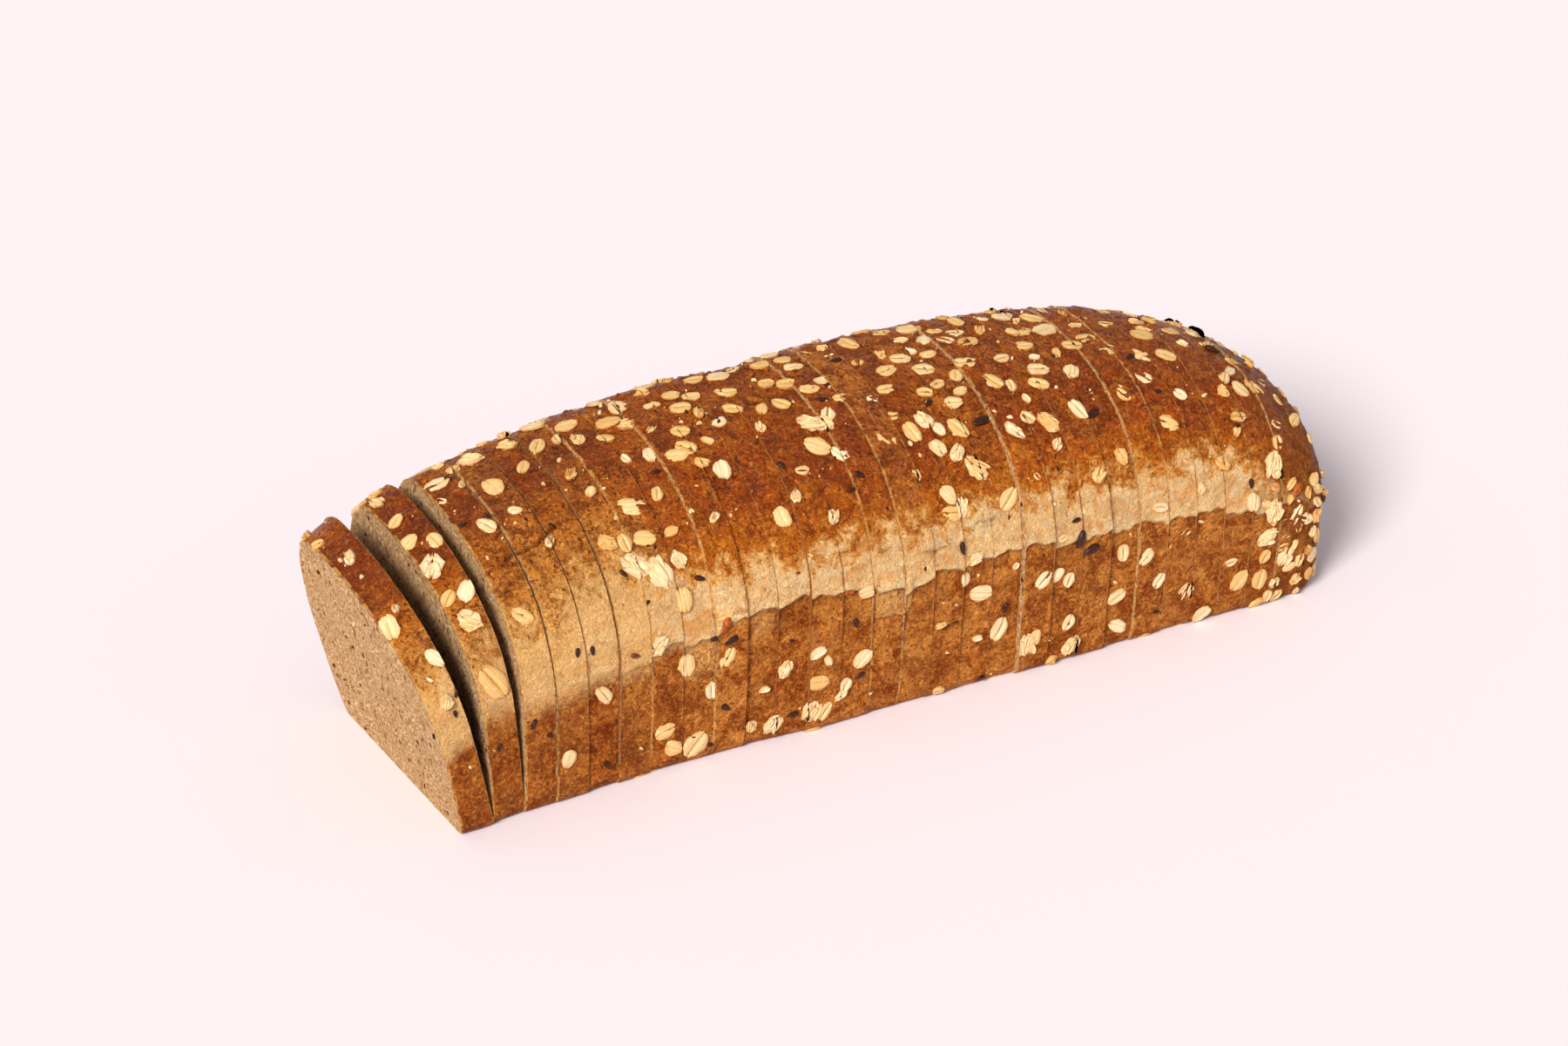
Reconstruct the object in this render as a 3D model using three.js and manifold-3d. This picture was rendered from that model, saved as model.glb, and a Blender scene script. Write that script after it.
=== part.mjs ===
// A sliced multigrain tin loaf: twenty-eight slices and a crusted heel, standing on its base.
// Millimetres. +X runs along the loaf from the cut front slice to the heel, +Z is up, and the
// -Y side carries the pale torn band. The base rests at z = 0, under the middle of the loaf.
import * as THREE from "three";
import { mergeVertices } from "three/addons/utils/BufferGeometryUtils.js";
import Module from "manifold-3d";

const wasm = await Module();
wasm.setup();

// The cut of the loaf
const SLICES = 28;
const PITCH = 12;
const GAP = 0.3;
const HEEL = 18.5;
const CUT_LENGTH = SLICES * PITCH;

// The section: a tin-shaped foot under a lopsided dome
const CROWN = 106;
const CROWN_AT = 170;
const FRONT_FALL = 16;
const FRONT_ROUND = 11;
const REAR_FALL = 18;
const REAR_ROUND = 11;
const WAIST_SHARE = 0.47;
const BASE_HALF = 47.5;
const WAIST_HALF = 50.5;
const FRONT_SPREAD = 1.8;
const FOOT_RADIUS = 4;
const PEAK_Y = 22;
const REAR_PEAK_Y = -2;
const NEAR_FULLNESS = 2.2;
const FAR_FULLNESS = 2.45;
const HEEL_WALL_FULLNESS = 2.3;
const HEEL_DOME_FULLNESS = 1.6;

// The torn edge where the dome rose out of the tin
const LIP = 1.3;
const FAR_LIP = 0.7;
const LIP_FADE = 16;

// How far each of the first slices has tipped forward, in degrees
const TIPPED = [12.5, 5.2, 1.3, 0.8, 0.4];

// Rolled oats baked onto the crust
const OAT_LENGTH = 8.6;
const OAT_WIDTH = 6.2;
const OAT_THICKNESS = 1.5;
const OAT_SIDES = 6;
const OAT_SPACING = 9.3;
const OAT_TRIES = 820;

const CRUST = 0x9a5a26;
const HEEL_CRUST = 0xa4652f;

/** A repeatable stream of numbers from 0 to 1. */
function stream(seed) {
  let state = seed;
  return () => {
    state = (state + 0x6d2b79f5) | 0;
    let mixed = Math.imul(state ^ (state >>> 15), 1 | state);
    mixed = (mixed + Math.imul(mixed ^ (mixed >>> 7), 61 | mixed)) ^ mixed;
    return ((mixed ^ (mixed >>> 14)) >>> 0) / 4294967296;
  };
}

/** Height of the dome at a distance along the loaf. */
function crownHeight(along) {
  if (along < CROWN_AT) {
    const back = (CROWN_AT - along) / CROWN_AT;
    return CROWN - FRONT_FALL * back ** 2 - FRONT_ROUND * back ** 9;
  }
  const onward = (along - CROWN_AT) / (CUT_LENGTH - CROWN_AT);
  return CROWN - REAR_FALL * onward ** 2.4 - REAR_ROUND * onward ** 9;
}

/** Sideways place of the dome's top, which comes back to the middle towards the heel. */
function peakPlace(along) {
  const share = THREE.MathUtils.smoothstep(along, 0.7 * CUT_LENGTH, CUT_LENGTH);
  return THREE.MathUtils.lerp(PEAK_Y, REAR_PEAK_Y, share);
}

/** Sideways place of a slice: the front ones are pushed out, those after them sit back. */
function sway(along) {
  const pushedOut = 2.5 * Math.exp(-((along / 24) ** 2));
  const satBack = 2.4 * Math.exp(-(((along - 88) / 34) ** 2));
  return satBack - pushedOut;
}

/** Half a wall, from the foot up to the waist. */
function wallHalf(height, waist, half) {
  const share = Math.sin((Math.PI / 2) * Math.min(1, height / waist));
  return BASE_HALF + (half - BASE_HALF) * share;
}

/** Proud height of the torn edge, from nothing on the first slices. */
function lipDepth(along, full) {
  return full * Math.min(1, Math.max(0.15, (along - 30) / 70));
}

/** Outline of the loaf's section as [y, z], from the near foot over the dome to the far foot. */
function outline(along, ragged) {
  const height = crownHeight(along);
  const waist = WAIST_SHARE * height;
  const half = WAIST_HALF + FRONT_SPREAD * Math.exp(-((along / 16) ** 2));
  const peak = peakPlace(along);
  const side = (sign, fullness, lip, domeSteps) => {
    const points = [];
    for (let step = 0; step < 3; step++) {
      const turn = (Math.PI / 2) * (step / 3);
      const y = BASE_HALF - FOOT_RADIUS * (1 - Math.sin(turn));
      points.push([sign * y, FOOT_RADIUS * (1 - Math.cos(turn))]);
    }
    const tear = waist + ragged;
    for (let step = 0; step <= 3; step++) {
      const z = FOOT_RADIUS + (tear - FOOT_RADIUS) * (step / 3);
      points.push([sign * wallHalf(z, waist, half), z]);
    }
    const reach = half - sign * peak;
    for (let step = 0; step <= domeSteps; step++) {
      const turn = (Math.PI / 2) * (0.08 + 0.92 * (step / domeSteps));
      const y = sign * peak + reach * Math.cos(turn) ** (2 / fullness);
      const rise = (height - waist) * Math.sin(turn) ** (2 / fullness);
      const z = Math.max(waist + rise, tear + 0.8 + step);
      const proud = lip * Math.exp(-((z - tear) / LIP_FADE));
      points.push([sign * (y + proud), z]);
    }
    return points;
  };
  const near = side(-1, NEAR_FULLNESS, lipDepth(along, LIP), 11);
  const far = side(1, FAR_FULLNESS, lipDepth(along, FAR_LIP), 8);
  far.pop();
  const shift = sway(along);
  return [...near, ...far.reverse()].map(([y, z]) => [y + shift, z]);
}

/** The heel draws in to a rounded end: its section at a share of the heel's length. */
function heelOutline(share) {
  const middle = 0.44 * crownHeight(CUT_LENGTH);
  const drawnIn = (fullness) => (1 - share ** fullness) ** (1 / fullness);
  const wall = drawnIn(HEEL_WALL_FULLNESS);
  const dome = drawnIn(HEEL_DOME_FULLNESS);
  return outline(CUT_LENGTH, 0).map(([y, z]) => {
    return [y * wall, middle + (z - middle) * (z > middle ? dome : wall)];
  });
}

/** A closed solid through rings of points, each ring at its own place along the loaf. */
function loft(rings) {
  const count = rings[0].points.length;
  const positions = [];
  for (const ring of rings) {
    for (const [y, z] of ring.points.toReversed()) positions.push(ring.x, y, z);
  }
  const index = [];
  for (let ring = 0; ring + 1 < rings.length; ring++) {
    for (let step = 0; step < count; step++) {
      const a = ring * count + step;
      const b = ring * count + (step + 1) % count;
      index.push(a, b, a + count, b, b + count, a + count);
    }
  }
  const contour = rings[0].points.toReversed().map(([y, z]) => new THREE.Vector2(y, z));
  const last = (rings.length - 1) * count;
  for (const [a, b, c] of THREE.ShapeUtils.triangulateShape(contour, [])) {
    index.push(a, c, b);
    index.push(last + a, last + b, last + c);
  }
  const geometry = new THREE.BufferGeometry();
  geometry.setAttribute("position", new THREE.Float32BufferAttribute(positions, 3));
  geometry.setIndex(index);
  return geometry;
}

/** A closed geometry as a manifold solid. */
function toSolid(geometry) {
  const bare = geometry.clone();
  bare.deleteAttribute("normal");
  bare.deleteAttribute("uv");
  const merged = mergeVertices(bare, 1e-4);
  return new wasm.Manifold(new wasm.Mesh({
    numProp: 3,
    vertProperties: new Float32Array(merged.attributes.position.array),
    triVerts: new Uint32Array(merged.index.array),
  }));
}

/** A manifold solid as a geometry. */
function toGeometry(solid) {
  const mesh = solid.getMesh();
  const geometry = new THREE.BufferGeometry();
  geometry.setAttribute("position", new THREE.BufferAttribute(mesh.vertProperties.slice(), 3));
  geometry.setIndex(new THREE.BufferAttribute(mesh.triVerts.slice(), 1));
  return geometry;
}

/** Place and outward direction on the crust, at a share of the way round from the near foot. */
function crustPoint(points, round) {
  const lengths = [0];
  for (let step = 1; step < points.length; step++) {
    const dy = points[step][0] - points[step - 1][0];
    const dz = points[step][1] - points[step - 1][1];
    lengths.push(lengths[step - 1] + Math.hypot(dy, dz));
  }
  const wanted = round * lengths[lengths.length - 1];
  let step = 1;
  while (step < points.length - 1 && lengths[step] < wanted) step++;
  const share = (wanted - lengths[step - 1]) / (lengths[step] - lengths[step - 1]);
  const from = points[Math.max(0, step - 2)];
  const to = points[Math.min(points.length - 1, step + 1)];
  const run = Math.hypot(to[0] - from[0], to[1] - from[1]);
  return {
    y: points[step - 1][0] + share * (points[step][0] - points[step - 1][0]),
    z: points[step - 1][1] + share * (points[step][1] - points[step - 1][1]),
    outward: new THREE.Vector3(0, -(to[1] - from[1]) / run, (to[0] - from[0]) / run),
  };
}

/** How likely the crust is to hold an oat here: thick on the dome's back and towards the heel. */
function oatLikelihood(along, round) {
  const dome = Math.exp(-(((round - 0.58) / 0.17) ** 2));
  const rear = 0.35 + 0.65 * (along / CUT_LENGTH);
  const frontDome = round > 0.22 && round < 0.5 ? 0.3 * rear : 0;
  const wall = round < 0.22 || round > 0.8 ? 0.75 * Math.min(1, Math.max(0.1, (along - 60) / 50)) : 0;
  return Math.max(dome * rear, frontDome, wall);
}

/** Oats scattered by chance, kept apart from each other, as {along, round, turn, size}. */
function scatterOats() {
  const next = stream(28);
  const girth = 290;
  const placed = [];
  for (let attempt = 0; attempt < OAT_TRIES; attempt++) {
    const oat = {
      along: PITCH * 0.2 + next() * (CUT_LENGTH + HEEL * 0.4),
      round: 0.03 + 0.94 * next(),
      turn: next() * Math.PI,
      size: 0.85 + 0.3 * next(),
    };
    const clear = placed.every((other) => {
      const apart = Math.hypot(oat.along - other.along, (oat.round - other.round) * girth);
      return apart > OAT_SPACING;
    });
    if (next() < oatLikelihood(oat.along, oat.round) && clear) placed.push(oat);
  }
  return placed;
}

/** One flat flake, lying on the crust and sunk into it by half its thickness. */
function oatSolid(oat, x, spot) {
  const flake = new THREE.CylinderGeometry(0.78, 1, 1, OAT_SIDES);
  flake.scale(OAT_LENGTH / 2 * oat.size, OAT_THICKNESS, OAT_WIDTH / 2 * oat.size);
  flake.rotateY(oat.turn);
  const lift = new THREE.Quaternion().setFromUnitVectors(new THREE.Vector3(0, 1, 0), spot.outward);
  flake.applyQuaternion(lift);
  flake.translate(x, spot.y, spot.z);
  return toSolid(flake);
}

/** Joins the oats of one slice to it, each cut flush with the slice's two faces. */
function withOats(body, oats, from, to, ringAt) {
  let solid = toSolid(body);
  const slab = new THREE.BoxGeometry(to - from - 0.1, 400, 400);
  slab.translate((from + to) / 2, 0, 0);
  const limits = toSolid(slab);
  for (const oat of oats) {
    const spot = crustPoint(ringAt(oat.along), oat.round);
    const flake = oatSolid(oat, oat.along, spot).intersect(limits);
    solid = solid.add(flake);
  }
  return toGeometry(solid);
}

/** Leans a slice forward about its front foot, with its base still flat on the table. */
function tip(geometry, degrees) {
  const slope = Math.tan(THREE.MathUtils.degToRad(degrees));
  const position = geometry.attributes.position;
  for (let corner = 0; corner < position.count; corner++) {
    const z = Math.max(0, position.getZ(corner));
    position.setXYZ(corner, position.getX(corner) - slope * z, position.getY(corner), z);
  }
  return geometry;
}

function nodeMesh(name, geometry, colour) {
  geometry.computeVertexNormals();
  const material = new THREE.MeshStandardMaterial({ color: colour, roughness: 0.62, metalness: 0 });
  const mesh = new THREE.Mesh(geometry, material);
  mesh.name = name;
  return mesh;
}

const nextRagged = stream(7);
const oats = scatterOats();
const loaf = new THREE.Group();

for (let slice = 0; slice < SLICES; slice++) {
  const from = slice * PITCH + GAP / 2;
  const to = (slice + 1) * PITCH - GAP / 2;
  const ragged = 5 * (nextRagged() - 0.5);
  const aside = 1.6 * (nextRagged() - 0.5);
  const ring = (x) => outline(x, ragged).map(([y, z]) => [y + aside, z]);
  const body = loft([{ x: from, points: ring(from) }, { x: to, points: ring(to) }]);
  const own = oats.filter((oat) => oat.along > from && oat.along < to);
  const geometry = tip(withOats(body, own, from, to, ring), TIPPED[slice] ?? 0);
  const number = String(slice + 1).padStart(2, "0");
  loaf.add(nodeMesh(`slice_${number}`, geometry, CRUST));
}

const heelFrom = CUT_LENGTH + GAP / 2;
const heelShares = [0, 0.35, 0.6, 0.78, 0.9, 0.97];
const heelRings = heelShares.map((share) => ({
  x: heelFrom + share * HEEL,
  points: heelOutline(share),
}));
const heelOats = oats.filter((oat) => oat.along > heelFrom);
const heelRingAt = (x) => heelOutline((x - heelFrom) / HEEL);
const heelEnd = heelFrom + 2 * HEEL;
const heel = withOats(loft(heelRings), heelOats, heelFrom, heelEnd, heelRingAt);
loaf.add(nodeMesh("slice_29_heel", tip(heel, 0), HEEL_CRUST));

// The middle of the loaf's footprint stands over the origin
const box = new THREE.Box3().setFromObject(loaf);
const middle = box.getCenter(new THREE.Vector3());
loaf.children.forEach((mesh) => mesh.position.set(-middle.x, -middle.y, 0));

export default loaf;
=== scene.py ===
# Looks of a sliced multigrain tin loaf. Shapes are worked out in millimetres, in the loaf's
# own measure: along from the cut front, across from the middle, up from the table.
import math

import bmesh
import bpy
import numpy as np
from mathutils import Matrix, Vector
from mathutils.geometry import delaunay_2d_cdt


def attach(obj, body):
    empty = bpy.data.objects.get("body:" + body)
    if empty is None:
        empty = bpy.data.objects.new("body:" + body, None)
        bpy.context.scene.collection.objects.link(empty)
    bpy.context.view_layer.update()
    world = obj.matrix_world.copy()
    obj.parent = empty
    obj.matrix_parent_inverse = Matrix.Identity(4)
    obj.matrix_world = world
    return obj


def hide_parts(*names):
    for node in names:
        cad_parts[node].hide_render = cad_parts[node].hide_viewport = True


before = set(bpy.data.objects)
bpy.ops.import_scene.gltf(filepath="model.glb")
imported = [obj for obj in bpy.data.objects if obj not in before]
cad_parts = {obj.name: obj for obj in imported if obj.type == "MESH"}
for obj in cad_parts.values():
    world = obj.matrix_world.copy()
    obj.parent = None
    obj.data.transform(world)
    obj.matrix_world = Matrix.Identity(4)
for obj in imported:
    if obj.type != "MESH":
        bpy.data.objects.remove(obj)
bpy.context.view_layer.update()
MM = 0.001

# The cut of the loaf, as in the solids
SLICES = 28
PITCH = 12.0
GAP = 0.3
HEEL = 18.5
HEEL_LAST = 0.985
CUT_LENGTH = SLICES * PITCH
TIPPED = (12.5, 5.2, 1.3, 0.8, 0.4)

# The section, as in the solids
CROWN = 106.0
CROWN_AT = 170.0
FRONT_FALL = 16.0
FRONT_ROUND = 11.0
REAR_FALL = 18.0
REAR_ROUND = 11.0
WAIST_SHARE = 0.47
BASE_HALF = 47.5
WAIST_HALF = 50.5
FRONT_SPREAD = 1.8
FOOT_RADIUS = 4.0
PEAK_Y = 22.0
REAR_PEAK_Y = -2.0
NEAR_FULLNESS = 2.2
FAR_FULLNESS = 2.45
HEEL_WALL_FULLNESS = 2.3
HEEL_DOME_FULLNESS = 1.6
LIP = 1.3
FAR_LIP = 0.7
LIP_FADE = 16.0

# The solids' scattered oats
OAT_LENGTH = 8.6
OAT_SPACING = 9.3
OAT_TRIES = 820

# Fineness of the crust's mesh
ROUND_STEPS = 520
BASE_STEPS = 30
CRUST_STEPS = 11
SEAM = 0.04

# Spacing of the crumb's points: on the front face, on the others that show, and where none does
FRONT_CRUMB = 0.85
SHOWN_CRUMB = 1.6
HIDDEN_CRUMB = 9.0

# How many places are tried for small oats and chips, and how many small seeds there are
SMALL_OAT_TRIES = 4200
CHIP_TRIES = 1500
SMALL_SEEDS = 90

# How far oats keep from each other: the solids' on the far half, small ones, and in the corner
FAR_SPACING = 7.5
SMALL_SPACING = 6.6
CORNER_SPACING = 4.6

# The heel's lower corner, where small oats crowd: its start and its share of the way round
CORNER = CUT_LENGTH - 20.0
CORNER_SHARE = 0.24

# Oats above this length get the finer form, and those more ragged than this get split layers
FINE_LENGTH = 6.0
SHREDDED = 0.14

# Points of the section by which scattered things find the crust
SPOT_STEPS = 200


def smoothstep(value, low, high):
    share = np.clip((value - low) / (high - low), 0.0, 1.0)
    return share * share * (3.0 - 2.0 * share)


def bell(value, middle, width):
    return np.exp(-(((value - middle) / width) ** 2))


def stream(seed):
    """A repeatable stream of numbers from 0 to 1, the same as in the solids."""
    state = seed
    while True:
        state = (state + 0x6D2B79F5) & 0xFFFFFFFF
        mixed = ((state ^ (state >> 15)) * (1 | state)) & 0xFFFFFFFF
        mixed = ((mixed + ((mixed ^ (mixed >> 7)) * (61 | mixed))) & 0xFFFFFFFF) ^ mixed
        yield ((mixed ^ (mixed >> 14)) & 0xFFFFFFFF) / 4294967296


def lattice_noise(points, seed=0):
    """Smooth noise from -1 to 1 at points in lattice steps."""
    cell = np.floor(points).astype(np.int64)
    part = points - cell
    ease = part * part * (3.0 - 2.0 * part)
    total = np.zeros(len(points))
    for corner in range(8):
        step = np.array([corner & 1, (corner >> 1) & 1, (corner >> 2) & 1])
        place = cell + step
        mixed = place[:, 0] * 374761393 + place[:, 1] * 668265263 + place[:, 2] * 2147483629
        mixed = (mixed + seed * 974711) & 0xFFFFFFFF
        mixed = ((mixed ^ (mixed >> 13)) * 1274126177) & 0xFFFFFFFF
        value = ((mixed ^ (mixed >> 16)) & 0xFFFF) / 32767.5 - 1.0
        weight = np.prod(np.where(step == 1, ease, 1.0 - ease), axis=1)
        total += value * weight
    return total


def noise(points, size, seed=0, octaves=1, stretch=(1.0, 1.0, 1.0)):
    """Noise whose largest bumps are about size millimetres across."""
    total = np.zeros(len(points))
    strength = 1.0
    for octave in range(octaves):
        scaled = points / (np.array(stretch) * size) * 2.0 ** octave
        total += strength * lattice_noise(scaled + 17.3 * octave, seed + octave)
        strength *= 0.5
    return total


# Form of the loaf

def crown_height(along):
    if along < CROWN_AT:
        back = (CROWN_AT - along) / CROWN_AT
        return CROWN - FRONT_FALL * back ** 2 - FRONT_ROUND * back ** 9
    onward = (along - CROWN_AT) / (CUT_LENGTH - CROWN_AT)
    return CROWN - REAR_FALL * onward ** 2.4 - REAR_ROUND * onward ** 9


def peak_place(along):
    share = float(smoothstep(along, 0.7 * CUT_LENGTH, CUT_LENGTH))
    return PEAK_Y + (REAR_PEAK_Y - PEAK_Y) * share


def sway(along):
    pushed_out = 2.5 * math.exp(-((along / 24) ** 2))
    sat_back = 2.4 * math.exp(-(((along - 88) / 34) ** 2))
    return sat_back - pushed_out


def smooth_side(along, sign, fullness):
    """One side of the section without its torn edge, from the foot up to the dome's top."""
    height = crown_height(along)
    waist = WAIST_SHARE * height
    half = WAIST_HALF + FRONT_SPREAD * math.exp(-((along / 16) ** 2))
    peak = peak_place(along)
    turn = np.linspace(0.0, math.pi / 2, 8)[:-1]
    foot_reach = BASE_HALF - FOOT_RADIUS * (1 - np.sin(turn))
    foot = np.stack([foot_reach, FOOT_RADIUS * (1 - np.cos(turn))], 1)
    rise = np.linspace(FOOT_RADIUS, waist, 30)
    bulge = np.sin((math.pi / 2) * rise / waist)
    wall = np.stack([BASE_HALF + (half - BASE_HALF) * bulge, rise], 1)
    turn = np.linspace(0.0, math.pi / 2, 90)[1:]
    reach = half - sign * peak
    out = sign * peak + reach * np.cos(turn).clip(0) ** (2 / fullness)
    dome = np.stack([out, waist + (height - waist) * np.sin(turn) ** (2 / fullness)], 1)
    side = np.concatenate([foot, wall, dome])
    side[:, 0] *= sign
    return side


def resampled(points, count):
    """The same line with its points evenly apart."""
    steps = np.hypot(*np.diff(points, axis=0).T)
    length = np.concatenate([[0], np.cumsum(steps)])
    wanted = np.linspace(0, length[-1], count)
    return np.stack([np.interp(wanted, length, values) for values in points.T], 1)


def outline(along, count=ROUND_STEPS):
    """Section at a distance along the loaf, from the near foot over the dome to the far foot."""
    near = smooth_side(along, -1, NEAR_FULLNESS)
    far = smooth_side(along, 1, FAR_FULLNESS)
    line = resampled(np.concatenate([near, far[-2::-1]]), count)
    line[:, 0] += sway(along)
    return line


def heel_outline(share, count=ROUND_STEPS):
    """Section of the heel at a share of its length: it draws in to a rounded end."""
    middle = 0.44 * crown_height(CUT_LENGTH)
    wall = (1 - share ** HEEL_WALL_FULLNESS) ** (1 / HEEL_WALL_FULLNESS)
    dome = (1 - share ** HEEL_DOME_FULLNESS) ** (1 / HEEL_DOME_FULLNESS)
    line = outline(CUT_LENGTH, count)
    above = line[:, 1] > middle
    line[:, 0] *= wall
    line[:, 1] = middle + (line[:, 1] - middle) * np.where(above, dome, wall)
    return line


def ragged_slices():
    """Each slice's own height of the torn edge and its small step aside, as in the solids."""
    draw = stream(7)
    return [(5 * (next(draw) - 0.5), 1.6 * (next(draw) - 0.5)) for _ in range(SLICES)]


RAGGED = ragged_slices()

# How far each slice's crust stands proud of its neighbours, in millimetres
SET_OUT = np.random.default_rng(3).uniform(-0.15, 0.15, SLICES)
SET_OUT[[6, 8, 13, 18, 22, 27]] += 0.4
SET_OUT[[5, 7, 12, 17, 21, 26]] -= 0.25
SET_OUT[[14, 23]] = 0.75

# How frayed each cut is, from the front face on: the first four stand apart and show theirs
CUT_WEAR = np.random.default_rng(9).uniform(0.03, 0.3, SLICES + 1)
CUT_WEAR[:4] = (1.0, 0.9, 0.9, 0.8)
CUT_WEAR[[6, 8, 13, 14, 18, 22, 23, 27]] = 0.85

# How much darker or paler each slice is baked, from -1 to 1
SLICE_TONE = np.random.default_rng(15).uniform(-1, 1, SLICES + 1)


def slice_of(along):
    return int(min(SLICES, max(0, along // PITCH)))


def tear_raise(along):
    """How far the torn edge lies above the waist: it climbs over slices 9 to 13."""
    climb = smoothstep(along, 96, 101) * (1.0 - smoothstep(along, 154, 159))
    return float(1.5 + 4.6 * climb + 1.0 * bell(along, 236, 16))


def section_at(along, count=ROUND_STEPS):
    """Section and the place of the torn edge, in the slice that holds this distance."""
    number = slice_of(along)
    if number == SLICES:
        share = min(HEEL_LAST, max(0.0, (along - CUT_LENGTH - GAP / 2) / HEEL))
        return heel_outline(share, count), WAIST_SHARE * crown_height(CUT_LENGTH)
    ragged, aside = RAGGED[number]
    line = outline(along, count)
    line[:, 0] += aside
    return line, WAIST_SHARE * crown_height(along) + ragged + tear_raise(along)


def frame_shift():
    """Where the loaf's own zero lies in the frame, read off a middle slice's foot."""
    number = 15
    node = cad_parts[f"slice_{number:02d}"]
    corners = np.array([vertex.co[:] for vertex in node.data.vertices]) / MM
    foot = corners[corners[:, 2] < 0.01]
    start = (number - 1) * PITCH + GAP / 2
    middle = start + PITCH / 2
    across = (foot[:, 1].min() + foot[:, 1].max()) / 2
    return np.array([corners[:, 0].min() - start, across - sway(middle) - RAGGED[number - 1][1], 0.0])


SHIFT = frame_shift()


def tipped(points, number):
    """Leans the points of one slice forward, as in the solids."""
    slope = math.tan(math.radians(TIPPED[number])) if number < len(TIPPED) else 0.0
    moved = points.copy()
    moved[:, 2] = np.maximum(moved[:, 2], 0.0)
    moved[:, 0] -= slope * moved[:, 2]
    return moved


def to_frame(points):
    return (points + SHIFT) * MM


# Where the crust is pale, torn or dark

# Cracks in the crust: start and end as (slices, share of the way round), depth and width in mm
CRACKS = (
    (2.35, 0.372, 4.6, 0.398, 1.2, 0.9), (4.4, 0.392, 5.2, 0.405, 0.7, 0.6),
    (15.2, 0.113, 16.15, 0.112, 1.1, 0.7), (14.6, 0.226, 15.6, 0.222, 0.7, 0.5),
    (16.4, 0.243, 17.3, 0.25, 0.6, 0.5), (8.3, 0.215, 9.1, 0.213, 0.5, 0.4),
    (6.3, 0.640, 9.5, 0.655, 0.9, 0.8), (14.2, 0.745, 17.6, 0.752, 0.8, 0.7),
    (20.4, 0.620, 22.8, 0.642, 0.8, 0.7),
)
GIRTH = 274.0

# Flaps of crust below the torn edge: from and to in slices and share, how proud in mm, how pale
FLAPS = (
    (13.1, 14.2, 0.152, 0.196, 0.9, 0.75), (7.05, 8.1, 0.135, 0.192, 0.3, 0.55),
    (9.2, 10.0, 0.17, 0.2, 0.25, 0.45), (13.2, 15.0, 0.229, 0.245, 0.5, 0.0),
)


def flaps(points, share_round):
    """How proud and how pale the flaps are at points on the crust."""
    proud = np.zeros(len(points))
    pale = np.zeros(len(points))
    x = points[:, 0] / PITCH + 0.05 * noise(points, 4, 81, 2)
    y = share_round + 0.005 * noise(points, 4, 83, 2)
    for from_slice, to_slice, from_share, to_share, height, paleness in FLAPS:
        across = smoothstep(x, from_slice - 0.03, from_slice + 0.03)
        across = across * (1 - smoothstep(x, to_slice, to_slice + 0.06))
        around = smoothstep(y, from_share - 0.002, from_share + 0.002)
        around = around * (1 - smoothstep(y, to_share, to_share + 0.012))
        proud = np.maximum(proud, height * across * around)
        pale = np.maximum(pale, paleness * across * around)
    return proud, pale


def bake_masks(points, share_round, tear):
    """Whether a point lies above the torn edge, and how far up the bake it is, each 0 to 1."""
    along = points[:, 0]
    wander = 0.008 * noise(points, 30, 31, 2) + 0.006 * noise(points, 5, 37, 2)
    near = share_round < 0.5
    place = np.where(near, share_round, 1.0 - share_round) + wander
    top = 0.243 + 0.034 * bell(along, 62, 34) - 0.004 * smoothstep(along, 120, 170)
    soft = bell(along, 40, 48)
    above = smoothstep(points[:, 2] - tear, -0.5 - 9.0 * soft, 0.4 + 2.0 * soft)
    above = above * (1.0 - 0.5 * smoothstep(along, 318, 340))
    rise = np.clip((place - top) / 0.25 + 0.2 * smoothstep(along, 300, 330), -0.9, 1.0)
    return above, rise


def cracks(points, share_round):
    """Depth of the cracks at points on the crust, in millimetres."""
    depth = np.zeros(len(points))
    x = points[:, 0]
    y = share_round * GIRTH + 1.3 * noise(points, 5, 71, 2)
    for from_slice, from_share, to_slice, to_share, deep, wide in CRACKS:
        start = np.array([from_slice * PITCH, from_share * GIRTH])
        run = np.array([to_slice * PITCH, to_share * GIRTH]) - start
        share = np.clip(((x - start[0]) * run[0] + (y - start[1]) * run[1]) / (run @ run), 0, 1)
        away = np.hypot(x - start[0] - share * run[0], y - start[1] - share * run[1])
        depth = np.maximum(depth, deep * bell(away, 0, wide) * (1 - (2 * share - 1) ** 6))
    return depth


def plates(points):
    """Stepped noise: thin flaky layers, from -1 to 1."""
    level = noise(points, 7.0, 11, 2, (2.6, 1.0, 0.5)) * 1.6
    whole = np.floor(level)
    return (whole + smoothstep(level - whole, 0.72, 1.0)) / 2.2


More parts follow.
